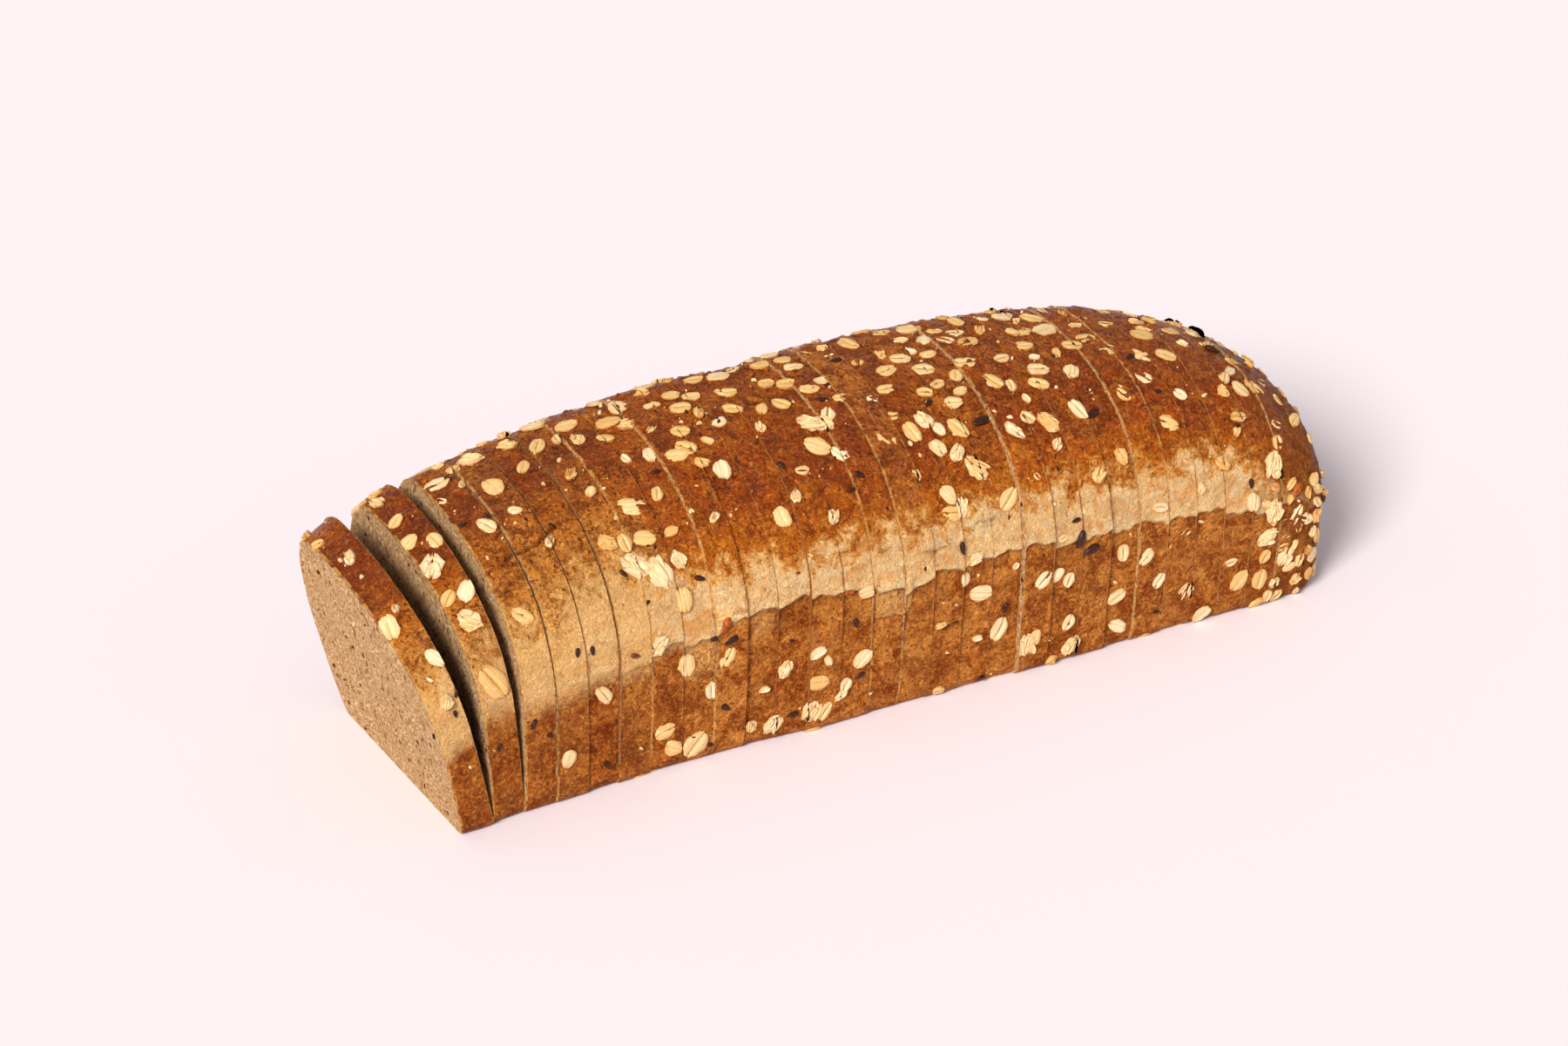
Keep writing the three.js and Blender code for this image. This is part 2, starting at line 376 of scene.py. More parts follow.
def relief(points, share_round, tear, above_tear, rise, crack):
    """How far the crust stands out from the smooth form, in millimetres."""
    along = points[:, 0]
    near = share_round < 0.5
    full = np.where(near, LIP, FAR_LIP)
    lip = full * np.clip((along - 30) / 70, 0.15, 1.0) * (1.0 - 0.5 * smoothstep(along, 225, 260))
    above = points[:, 2] - tear
    edge = smoothstep(above, -0.35, 0.35) * np.exp(-np.maximum(above, 0) / LIP_FADE)
    band = above_tear * (1.0 - smoothstep(rise, 0.0, 0.2))
    bake = smoothstep(rise, 0.0, 0.3)
    lumps = 0.4 * noise(points, 22, 3, 2)
    wrinkles = 0.2 * noise(points, 6.5, 5, 2, (1.4, 1.0, 1.0))
    grain = 0.2 * noise(points, 1.7, 7, 2)
    flakes = 0.42 * plates(points) * band
    blisters = 0.5 * smoothstep(noise(points, 2.7, 23), 0.2, 0.7) * (0.15 + 0.85 * bake)
    pits = -0.48 * smoothstep(noise(points, 2.6, 29), 0.34, 0.72) * (1 - 0.7 * band)
    total = lip * edge + lumps + wrinkles + grain + flakes + blisters + pits - crack
    return total * smoothstep(points[:, 2], -1.5, 5)


# Meshes

def add_mesh(name, vertices, faces, materials, face_material=None, attributes=None):
    mesh = bpy.data.meshes.new(name)
    mesh.from_pydata([tuple(v) for v in vertices], [], faces)
    for material in materials:
        mesh.materials.append(material)
    if face_material is not None:
        mesh.polygons.foreach_set("material_index", face_material)
    for key, values in (attributes or {}).items():
        layer = mesh.attributes.new(key, "FLOAT", "POINT")
        layer.data.foreach_set("value", np.asarray(values, dtype=np.float32))
    mesh.polygons.foreach_set("use_smooth", [True] * len(mesh.polygons))
    mesh.validate()
    mesh.update()
    thing = bpy.data.objects.new(name, mesh)
    bpy.context.scene.collection.objects.link(thing)
    return thing


def creased(thing, angle):
    """Marks the edges that turn by more than an angle as sharp."""
    work = bmesh.new()
    work.from_mesh(thing.data)
    for edge in work.edges:
        edge.smooth = edge.calc_face_angle(0.0) < angle
    work.to_mesh(thing.data)
    work.free()


def grid_faces(rows, columns):
    """Quads between closed rings, seen from outside."""
    faces = []
    for row in range(rows - 1):
        for column in range(columns):
            a = row * columns + column
            b = row * columns + (column + 1) % columns
            faces.append((a, a + columns, b + columns, b))
    return faces


def surface_normals(grid):
    """Outward directions of a grid of closed rings."""
    along = np.gradient(grid, axis=0)
    about = np.roll(grid, -1, axis=1) - np.roll(grid, 1, axis=1)
    normals = np.cross(along, about)
    return normals / (np.linalg.norm(normals, axis=2, keepdims=True) + 1e-9)


def ring_points(along, line):
    """A closed ring: the crust from foot to foot, then the base back."""
    base_y = np.linspace(line[-1, 0], line[0, 0], BASE_STEPS + 2)[1:-1]
    ring = np.concatenate([line, np.stack([base_y, np.zeros(BASE_STEPS)], 1)])
    base_level = line[[0, -1], 1].min()
    ring[len(line):, 1] = base_level
    return np.column_stack([np.full(len(ring), along), ring])


def crust_rings(stations, set_out=0.0):
    """Grid of crust points for the stations of one slice or the heel, with its masks."""
    rings = []
    tears = []
    for along in stations:
        line, tear = section_at(along)
        rings.append(ring_points(along, line))
        tears.append(np.full(len(rings[-1]), tear))
    grid = np.array(rings)
    share = np.concatenate([np.linspace(0, 1, ROUND_STEPS), np.zeros(BASE_STEPS)])
    share = np.tile(share, len(stations))
    on_crust = np.tile(np.arange(grid.shape[1]) < ROUND_STEPS, len(stations)).astype(float)
    flat = grid.reshape(-1, 3)
    along_only = flat * [1, 0, 0]
    tear = np.array(tears).ravel()
    tear = tear + 0.9 * noise(along_only, 2.6, 41, 2) + 1.6 * noise(along_only, 12, 43)
    above, rise = bake_masks(flat, share, tear)
    crack = cracks(flat, share)
    proud, pale = flaps(flat, share)
    out = relief(flat, share, tear, above, rise, crack) + proud
    out += set_out * smoothstep(flat[:, 2], 0, 12)
    normals = surface_normals(grid).reshape(-1, 3)
    moved = flat + normals * (out * on_crust)[:, None]
    over_tear = flat[:, 2] - tear
    # Painted shadow: a dark line just under the torn edge on the near half, where its lip overhangs
    under = bell(over_tear, -0.7, 0.75) * smoothstep(flat[:, 0], 40, 90) * (share < 0.5)
    frayed = bell(over_tear, 1.2, 1.3) * smoothstep(noise(flat, 5, 91, 2), -0.4, 0.4)
    frayed *= smoothstep(flat[:, 0], 30, 60) * (1 - smoothstep(flat[:, 0], 316, 330))
    # The dark mark is painted shadow under the lip and painted shade in the cracks
    dark = np.clip(0.5 * under + 0.7 * crack, 0, 1)
    masks = {"above": above, "rise": rise, "dark": dark, "plate": 0.5 + 0.4 * plates(flat),
             "pale": pale, "frayed": frayed}
    return moved.reshape(grid.shape), {key: mask * on_crust for key, mask in masks.items()}


def cut_face(ring, spacing, depth, seed, facing):
    """Crumb over one cut: points inside the crust's edge, pushed in where there are pores."""
    line = ring[:, 1:]
    low = line.min(axis=0)
    high = line.max(axis=0)
    wide = np.arange(low[0] + spacing, high[0], spacing)
    tall = np.arange(low[1] + spacing, high[1], spacing)
    inner = np.array([(y, z) for y in wide for z in tall])
    inner = inner + np.random.default_rng(seed).uniform(-0.25, 0.25, inner.shape) * spacing
    inner = inner[inside(inner, line, 0.7 * spacing)]
    places = [Vector(p) for p in np.concatenate([line, inner])]
    found = delaunay_2d_cdt(places, [], [list(range(len(line)))], 1, 1e-6, True)
    flat = np.array([v[:] for v in found[0]])
    points = np.column_stack([np.full(len(flat), ring[:, 0].mean()), flat])
    within = np.ones(len(flat))
    for place, origin in enumerate(found[3]):
        if origin and origin[0] < len(line):
            points[place] = ring[origin[0]]
            within[place] = 0.0
    pores = smoothstep(noise(points, 2.8, seed + 3, 2), 0.2, 0.9)
    fine = noise(points, 1.8, seed + 5, 2)
    points[:, 0] += facing * within * (-depth * pores + 0.12 * fine * min(1.0, depth * 2))
    faces = [tuple(f) for f in found[2]]
    faces = [f if facing_of(points, f) * facing > 0 else f[::-1] for f in faces]
    return points, faces


def facing_of(points, face):
    a, b, c = (points[i] for i in face[:3])
    return (b[1] - a[1]) * (c[2] - a[2]) - (b[2] - a[2]) * (c[1] - a[1])


def inside(places, line, margin):
    """Which places lie inside a closed line, at least a margin from it."""
    end = np.roll(line, -1, axis=0)
    y = places[:, :1]
    z = places[:, 1:]
    crosses = (line[:, 1] > z) != (end[:, 1] > z)
    slope = (end[:, 0] - line[:, 0]) / (end[:, 1] - line[:, 1] + 1e-12)
    left = y < line[:, 0] + slope * (z - line[:, 1])
    odd = (crosses & left).sum(axis=1) % 2 == 1
    return odd & (nearest(places, line) > margin)


def nearest(places, line):
    """How far each place is from the nearest point of a line."""
    return np.sqrt(((places[:, None] - line[None]) ** 2).sum(axis=2).min(axis=1))


def from_rim(points, ring):
    """How far in points of a cut lie: 0 at the crust to 1 well inside."""
    return smoothstep(nearest(points[:, 1:], ring[::4, 1:]), 1.0, 11.0)


def padded(masks, extra):
    """The masks of the crust, carried on as zero over the cut faces."""
    return {key: np.concatenate([values, np.zeros(extra)]) for key, values in masks.items()}


def slice_piece(number, crust, crumb):
    """One slice: a fine crust with rough cut edges and a crumb face on each side."""
    start = number * PITCH + SEAM / 2
    end = (number + 1) * PITCH - SEAM / 2
    near_cut = np.array([0.0, 0.2, 0.5, 1.0])
    inner = np.linspace(start + 1.7, end - 1.7, CRUST_STEPS)
    stations = np.concatenate([start + near_cut, inner, end - near_cut[::-1]])
    grid, masks = crust_rings(stations, SET_OUT[number])
    centre = grid.mean(axis=1, keepdims=True)
    front_wear, back_wear = CUT_WEAR[number:number + 2]
    for row, worn in ((0, front_wear), (-1, back_wear)):
        inward = centre[row] - grid[row]
        inward[:, 0] = 0
        inward /= np.linalg.norm(inward, axis=1, keepdims=True) + 1e-9
        chew = 0.12 + 0.16 * noise(grid[row], 1.4, 51 + number, 2)
        chew += 0.2 * noise(grid[row], 7, 61 + number)
        grid[row] += inward * (worn * np.clip(chew, 0.02, 0.7))[:, None]
    points = grid.reshape(-1, 3)
    from_front = 1.0 - smoothstep(points[:, 0] - start, 0.1, 1.1)
    from_back = 1.0 - smoothstep(end - points[:, 0], 0.0, 0.6)
    edge = np.maximum(from_front * front_wear, from_back * back_wear * 0.5)
    parts = [points]
    gap_shades = [np.zeros(len(points))]
    skins = [1.0 - np.clip(1.3 * edge, 0, 1)]
    faces = grid_faces(len(stations), grid.shape[1])
    kinds = [0] * len(faces)
    count = len(points)
    cuts = ((0, -1, front_wear, number < 3), (-1, 1, back_wear, number < 2))
    for row, facing, worn, shown in cuts:
        in_front = number == 0 and facing < 0
        spacing = FRONT_CRUMB if in_front else SHOWN_CRUMB if shown else HIDDEN_CRUMB
        depth = 1.0 if shown else 0.1
        face_points, face_faces = cut_face(grid[row], spacing, depth, 70 + number, facing)
        rimmed = from_rim(face_points, grid[row])
        parts.append(face_points)
        # Painted shade: the crumb of each cut but the front face darkens further in from the crust and
        # lower down, where the gaps between slices are dark
        gap_shades.append((not in_front) * rimmed * smoothstep(face_points[:, 2], 90, 20))
        skins.append((1.0 - min(1.0, 1.3 * worn)) * (rimmed < 0.001))
        faces += [tuple(i + count for i in f) for f in face_faces]
        kinds += [1] * len(face_faces)
        count += len(face_points)
    whole = np.concatenate(parts)
    marks = padded(masks, len(whole) - len(points))
    marks["edge"] = np.concatenate([edge, np.ones(len(whole) - len(points))])
    marks["deep"] = np.concatenate(gap_shades)
    marks["skin"] = np.concatenate(skins)
    marks["front"] = 1 - smoothstep(whole[:, 0], 66, 104)
    marks["tone"] = np.full(len(whole), 0.5 + 0.5 * SLICE_TONE[number])
    marks["heel"] = smoothstep(whole[:, 0], 306, 336)
    placed = to_frame(tipped(whole, number))
    piece = add_mesh(f"loaf_slice_{number + 1:02d}", placed, faces, [crust, crumb], kinds, marks)
    welded(piece)
    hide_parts(f"slice_{number + 1:02d}")
    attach(piece, "root")


def welded(piece):
    """Joins the cut faces to the crust's edge."""
    work = bmesh.new()
    work.from_mesh(piece.data)
    bmesh.ops.remove_doubles(work, verts=work.verts, dist=2e-6)
    for edge in work.edges:
        kinds = {face.material_index for face in edge.link_faces}
        if len(kinds) > 1:
            edge.smooth = False
    work.to_mesh(piece.data)
    work.free()


def heel_piece(crust, crumb):
    """The end crust: a short dome of rings, closed at its far end."""
    start = CUT_LENGTH + SEAM / 2
    shares = np.append(1 - np.linspace(1, 0, 34)[:-1] ** 1.6, HEEL_LAST)
    stations = start + shares[shares <= HEEL_LAST] * HEEL
    grid, masks = crust_rings(stations)
    columns = grid.shape[1]
    points = grid.reshape(-1, 3)
    tip = grid[-1].mean(axis=0)
    tip[0] += 0.15
    cut_points, cut_faces = cut_face(grid[0], HIDDEN_CRUMB, 0.15, 99, -1)
    whole = np.concatenate([points, [tip], cut_points])
    whole[:, 2] = np.maximum(whole[:, 2], 0.0)
    count = len(points)
    last = count - columns
    faces = grid_faces(len(stations), columns)
    faces += [(last + i, count, last + (i + 1) % columns) for i in range(columns)]
    kinds = [0] * len(faces) + [1] * len(cut_faces)
    faces += [tuple(i + count + 1 for i in f) for f in cut_faces]
    marks = padded(masks, len(whole) - count)
    edge = 1.0 - smoothstep(points[:, 0] - start, 0.05, 0.9)
    marks["edge"] = np.concatenate([edge, [0], np.ones(len(cut_points))])
    for key, value in {"deep": 0.0, "skin": 0.0, "front": 0.0, "tone": 1.0, "heel": 1.0}.items():
        marks[key] = np.full(len(whole), value)
    piece = add_mesh("loaf_heel", to_frame(whole), faces, [crust, crumb], kinds, marks)
    welded(piece)
    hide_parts("slice_29_heel")
    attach(piece, "root")


# Materials

class Nodes:
    """Short hand for building a material's nodes."""

    def __init__(self, name, roughness, specular):
        self.material = bpy.data.materials.new(name)
        self.material.use_nodes = True
        self.tree = self.material.node_tree
        self.tree.nodes.clear()
        self.shader = self.add("ShaderNodeBsdfPrincipled")
        output = self.add("ShaderNodeOutputMaterial")
        self.link(self.shader.outputs[0], output.inputs[0])
        self.shader.inputs["Roughness"].default_value = roughness
        self.shader.inputs["Specular IOR Level"].default_value = specular
        self.place = self.add("ShaderNodeTexCoord").outputs["Object"]

    def add(self, kind, **settings):
        node = self.tree.nodes.new(kind)
        for key, value in settings.items():
            setattr(node, key, value)
        return node

    def link(self, source, target):
        self.tree.links.new(source, target)

    def stretched(self, scale):
        node = self.add("ShaderNodeMapping")
        node.inputs["Scale"].default_value = scale
        self.link(self.place, node.inputs["Vector"])
        return node.outputs[0]

    def finished(self, colour, bumps):
        self.link(colour, self.shader.inputs["Base Color"])
        self.link(bumps, self.shader.inputs["Normal"])
        return self.material

    def noise(self, size_mm, detail, rough, distort=0.0, stretch=None):
        node = self.add("ShaderNodeTexNoise")
        node.inputs["Scale"].default_value = 1.0 / (size_mm * MM)
        node.inputs["Detail"].default_value = detail
        node.inputs["Roughness"].default_value = rough
        node.inputs["Distortion"].default_value = distort
        self.link(self.stretched(stretch) if stretch else self.place, node.inputs["Vector"])
        return node.outputs["Fac"]

    def cells(self, size_mm):
        """Distance to the nearest of many scattered points."""
        node = self.add("ShaderNodeTexVoronoi")
        node.inputs["Scale"].default_value = 1.0 / (size_mm * MM)
        self.link(self.place, node.inputs["Vector"])
        return node.outputs["Distance"]

    def attribute(self, name):
        return self.add("ShaderNodeAttribute", attribute_name=name).outputs["Fac"]

    def ramp(self, source, stops):
        """Colours along a value: each stop is its place and a colour as it is seen."""
        node = self.add("ShaderNodeValToRGB")
        elements = node.color_ramp.elements
        while len(elements) < len(stops):
            elements.new(0.5)
        for element, (place, *seen) in zip(elements, stops):
            element.position = place
            element.color = (*srgb(*seen), 1.0)
        self.link(source, node.inputs["Fac"])
        return node.outputs["Color"]

    def window(self, source, low, high):
        node = self.add("ShaderNodeMapRange", interpolation_type="SMOOTHSTEP")
        node.inputs["From Min"].default_value = low
        node.inputs["From Max"].default_value = high
        self.link(source, node.inputs["Value"])
        return node.outputs[0]

    def math(self, operation, first, second):
        node = self.add("ShaderNodeMath", operation=operation)
        for socket, value in zip(node.inputs, (first, second)):
            if isinstance(value, (int, float)):
                socket.default_value = value
            else:
                self.link(value, socket)
        return node.outputs[0]

    def product(self, *factors):
        total = factors[0]
        for factor in factors[1:]:
            total = self.math("MULTIPLY", total, factor)
        return total

    def cover(self, colour, seen, *amount):
        """Covers a colour by another one, as it is seen, by the product of the amounts."""
        return self.mix(self.product(*amount), colour, srgb(*seen))

    def mix(self, factor, first, second, blend="MIX"):
        node = self.add("ShaderNodeMix", data_type="RGBA", blend_type=blend)
        sockets = (node.inputs[0], node.inputs[6], node.inputs[7])
        for socket, value in zip(sockets, (factor, first, second)):
            if isinstance(value, (int, float)):
                socket.default_value = value
            elif isinstance(value, tuple):
                socket.default_value = (*value, 1.0)
            else:
                self.link(value, socket)
        return node.outputs[2]

    def bump(self, height, strength, distance_mm, below=None):
        node = self.add("ShaderNodeBump")
        node.inputs["Strength"].default_value = strength
        node.inputs["Distance"].default_value = distance_mm * MM
        self.link(height, node.inputs["Height"])
        if below is not None:
            self.link(below, node.inputs["Normal"])
        return node.outputs[0]


def srgb(red, green, blue):
    """A colour as it is seen, from 0 to 255, in the scene's linear numbers."""
    def one(value):
        value /= 255.0
        return value / 12.92 if value <= 0.04045 else ((value + 0.055) / 1.055) ** 2.4
    return (one(red), one(green), one(blue))


# The crust's roughness where it is pale and where it is well baked, and the tint of the whole
DULL = 0.6
GLOSSY = 0.24
WARMTH = (1.13, 1.0, 0.67)


def crust_material():
    n = Nodes("baked_crust", DULL, 0.13)
    above, rise, edge, front = (n.attribute(key) for key in ("above", "rise", "edge", "front"))
    plate, lip_and_crack_shade, tone, pale = (n.attribute(key) for key in ("plate", "dark", "tone", "pale"))
    broad = n.window(n.noise(17, 3, 0.6), 0.38, 0.62)
    mottle = n.window(n.noise(7.5, 7, 0.62, 0.5), 0.39, 0.61)
    fine = n.window(n.noise(1.3, 5, 0.68), 0.36, 0.64)
    grain = n.noise(0.6, 3, 0.65)

    # Below the torn edge, with golden patches and paler flaps, and darker at the front
    wall = n.ramp(mottle, [(0.0, 152, 76, 20), (0.45, 194, 114, 46), (1.0, 226, 154, 84)])
    low_wall = n.ramp(mottle, [(0.0, 128, 52, 6), (0.5, 166, 82, 18), (1.0, 196, 114, 44)])
    wall = n.mix(front, wall, low_wall)
    golden = n.window(n.noise(9, 5, 0.62, 0.6), 0.44, 0.62)
    higher = n.math("ADD", 0.2, n.product(n.window(rise, -0.75, -0.2), 0.45))
    wall = n.cover(wall, (236, 164, 88), golden, higher)
    wall = n.cover(wall, (248, 202, 146), pale, n.window(mottle, -0.6, 0.7))

    # Above it, from the pale band up to the brown dome
    uneven = n.product(n.math("SUBTRACT", n.noise(6, 6, 0.66, 0.5), 0.5), 0.8)
    height = n.math("ADD", rise, uneven)
    dome = n.ramp(height, [
        (0.0, 252, 230, 204), (0.03, 252, 226, 194), (0.08, 237, 174, 102),
        (0.18, 206, 114, 18), (0.3, 194, 96, 6), (0.46, 172, 74, 2),
        (0.66, 176, 80, 5), (0.95, 192, 98, 20),
    ])
    glow = n.window(n.noise(12, 5, 0.6, 1.4), 0.5, 0.62)
    dome = n.cover(dome, (220, 136, 40), glow, 0.62)
    toasted = n.ramp(height, [
        (0.0, 250, 214, 172), (0.13, 242, 188, 124), (0.32, 222, 146, 60),
        (0.55, 208, 120, 28), (0.75, 166, 78, 8), (0.95, 142, 58, 5),
    ])
    dome = n.mix(n.window(front, 0.45, 1.0), dome, toasted)
    colour = n.mix(above, wall, dome)

    # The torn band keeps pale streaks and few dark marks
    low = n.product(above, n.window(height, 0.16, 0.02))
    plain = n.math("SUBTRACT", 1.0, n.product(low, 0.8))
    mild = n.math("SUBTRACT", 1.0, n.product(low, 0.82))
    bake = n.math("ADD", 0.16, n.product(n.window(height, 0.1, 0.42), 0.6))
    colour = n.cover(colour, (244, 196, 142), low, n.window(plate, 0.62, 0.38), 0.45)

    # Each slice's own tone, then patches, spots, pores and specks from large to small, and painted glints
    # on the fine bumps
    colour = n.cover(colour, (140, 62, 8), n.window(tone, 0.5, 1.0), 0.2, plain)
    colour = n.cover(colour, (246, 186, 112), n.window(tone, 0.5, 0.0), 0.16)
    colour = n.cover(colour, (120, 46, 4), n.window(mottle, 0.5, 0.0), bake)
    blotch = n.window(n.noise(2.4, 5, 0.66, 0.9), 0.545, 0.62)
    colour = n.cover(colour, (92, 32, 6), blotch, n.math("ADD", bake, 0.22), plain)
    specks = n.window(n.noise(1.2, 3, 0.6), 0.58, 0.66)
    colour = n.cover(colour, (110, 44, 8), specks, mild, 0.8)
    crumbs = n.window(n.noise(2.6, 4, 0.65), 0.56, 0.66)
    colour = n.cover(colour, (214, 138, 62), crumbs, low, 0.55)
    patches = n.window(n.noise(3.8, 6, 0.64, 2.2), 0.51, 0.6)
    colour = n.cover(colour, (96, 36, 2), patches, mild, 0.45)
    colour = n.cover(colour, (92, 38, 10), n.window(n.cells(3.4), 0.17, 0.1), mild, 0.75)
    colour = n.cover(colour, (120, 54, 14), n.window(n.cells(4.6), 0.1, 0.06), 0.7)
    colour = n.cover(colour, (122, 52, 10), n.window(fine, 0.45, 0.0), mild, 0.34)
    # Painted highlight: pale glints on the crests of the fine bumps, fewer where the crust is well baked
    crest_glint = n.math("SUBTRACT", 0.9, n.product(bake, 0.6))
    colour = n.cover(colour, (244, 180, 104), n.window(fine, 0.5, 0.9), crest_glint, 0.32)
    colour = n.cover(colour, (128, 54, 6), broad, plain, 0.2)
    # Painted shadow under the torn lip and painted shade in the cracks
    colour = n.cover(colour, (86, 34, 8), lip_and_crack_shade, 0.8)

    # Pale crumb where the crust is torn, at the cuts and along the band, and a darker heel
    ragged = n.window(n.noise(3.4, 4, 0.6), 0.36, 0.54)
    colour = n.cover(colour, (240, 186, 114), n.window(edge, 0.1, 0.7), ragged, 0.7)
    colour = n.cover(colour, (255, 234, 200), n.attribute("frayed"), 0.65)
    colour = n.cover(colour, (116, 62, 22), n.attribute("heel"), 0.6)
    colour = n.mix(1.0, colour, WARMTH, "MULTIPLY")

    gloss = n.product(above, n.window(height, 0.1, 0.4))
    rough = n.mix(gloss, (DULL,) * 3, (GLOSSY,) * 3)
    rough = n.math("ADD", rough, n.product(n.math("SUBTRACT", fine, 0.5), 0.16))
    n.link(rough, n.shader.inputs["Roughness"])
    n.shader.inputs["Specular Tint"].default_value = (1.0, 0.82, 0.58, 1.0)
    n.link(n.product(gloss, 0.2), n.shader.inputs["Coat Weight"])
    n.shader.inputs["Coat Roughness"].default_value = 0.14
    n.link(n.bump(mottle, 0.8, 0.8), n.shader.inputs["Coat Normal"])
    bumps = n.bump(mottle, 0.6, 0.6)
    bumps = n.bump(fine, 1.0, 0.5, bumps)
    bumps = n.bump(grain, 0.9, 0.35, bumps)
    pits = n.window(n.cells(1.5), 0.34, 0.04)
    return n.finished(colour, n.bump(n.product(pits, -1.0), 0.7, 0.4, bumps))


def crumb_material():
    n = Nodes("cut_crumb", 0.9, 0.2)
    broad = n.window(n.noise(12, 3, 0.55), 0.35, 0.65)
    fine = n.window(n.noise(1.1, 6, 0.7), 0.34, 0.66)
    pores = n.window(n.cells(1.7), 0.3, 0.14)
    holes = n.window(n.noise(2.3, 4, 0.6, 0.6, (1.0, 1.0, 0.5)), 0.6, 0.67)
    colour = n.ramp(fine, [(0.0, 178, 120, 66), (0.4, 230, 178, 118), (1.0, 255, 220, 170)])
    colour = n.cover(colour, (190, 134, 78), broad, 0.2)
    colour = n.cover(colour, (150, 94, 44), pores, 0.35)
    colour = n.cover(colour, (142, 88, 38), holes, 0.7)
    colour = n.cover(colour, (84, 40, 16), n.window(n.cells(7.5), 0.15, 0.1))
    colour = n.cover(colour, (196, 140, 40), n.window(n.cells(9.5), 0.1, 0.07))
    colour = n.cover(colour, (176, 96, 30), n.attribute("skin"), 0.9)
    # Painted shade: the crumb darkens deep inside the gaps between slices
    colour = n.cover(colour, (52, 27, 13), n.attribute("deep"), 0.86)
    bumps = n.bump(n.product(pores, -1.0), 1.0, 0.7)
    bumps = n.bump(fine, 1.0, 0.5, bumps)
    return n.finished(colour, n.bump(n.product(holes, -1.0), 1.0, 1.0, bumps))


def oat_material():
    n = Nodes("rolled_oat", 0.55, 0.35)
    fine = n.noise(0.7, 4, 0.6)
    streaks = n.noise(1.6, 4, 0.6)
    fibres = n.add("ShaderNodeTexNoise", noise_dimensions="1D")
    fibres.inputs["Scale"].default_value = 1.0
    fibres.inputs["Detail"].default_value = 3.0
    n.link(n.attribute("lane"), fibres.inputs["W"])
    colour = n.ramp(n.attribute("tint"), [
        (0.0, 226, 170, 88), (0.5, 240, 200, 128), (1.0, 252, 232, 188),
    ])
    colour = n.cover(colour, (204, 136, 56), n.attribute("rim"), 0.5)
    colour = n.cover(colour, (190, 130, 60), n.window(fibres.outputs["Fac"], 0.5, 0.68), 0.5)
    colour = n.cover(colour, (198, 142, 72), n.window(fine, 0.52, 0.72), 0.4)
    colour = n.cover(colour, (252, 238, 206), n.window(streaks, 0.54, 0.7), 0.45)
    colour = n.cover(colour, (168, 100, 40), n.window(n.attribute("crease"), 0.25, 1.0), 0.6)
    return n.finished(colour, n.bump(fine, 0.5, 0.35))


def seed_material():
    n = Nodes("dark_seed", 0.4, 0.25)
    fine = n.noise(1.1, 3, 0.6)
    dark = n.ramp(fine, [(0.35, 36, 14, 6), (0.65, 74, 32, 12)])
    brown = n.ramp(fine, [(0.35, 128, 52, 10), (0.65, 196, 100, 30)])
    colour = n.mix(n.window(n.attribute("tint"), 0.5, 0.7), dark, brown)
    return n.finished(colour, n.bump(fine, 0.4, 0.3))


# Oats, chips and seeds

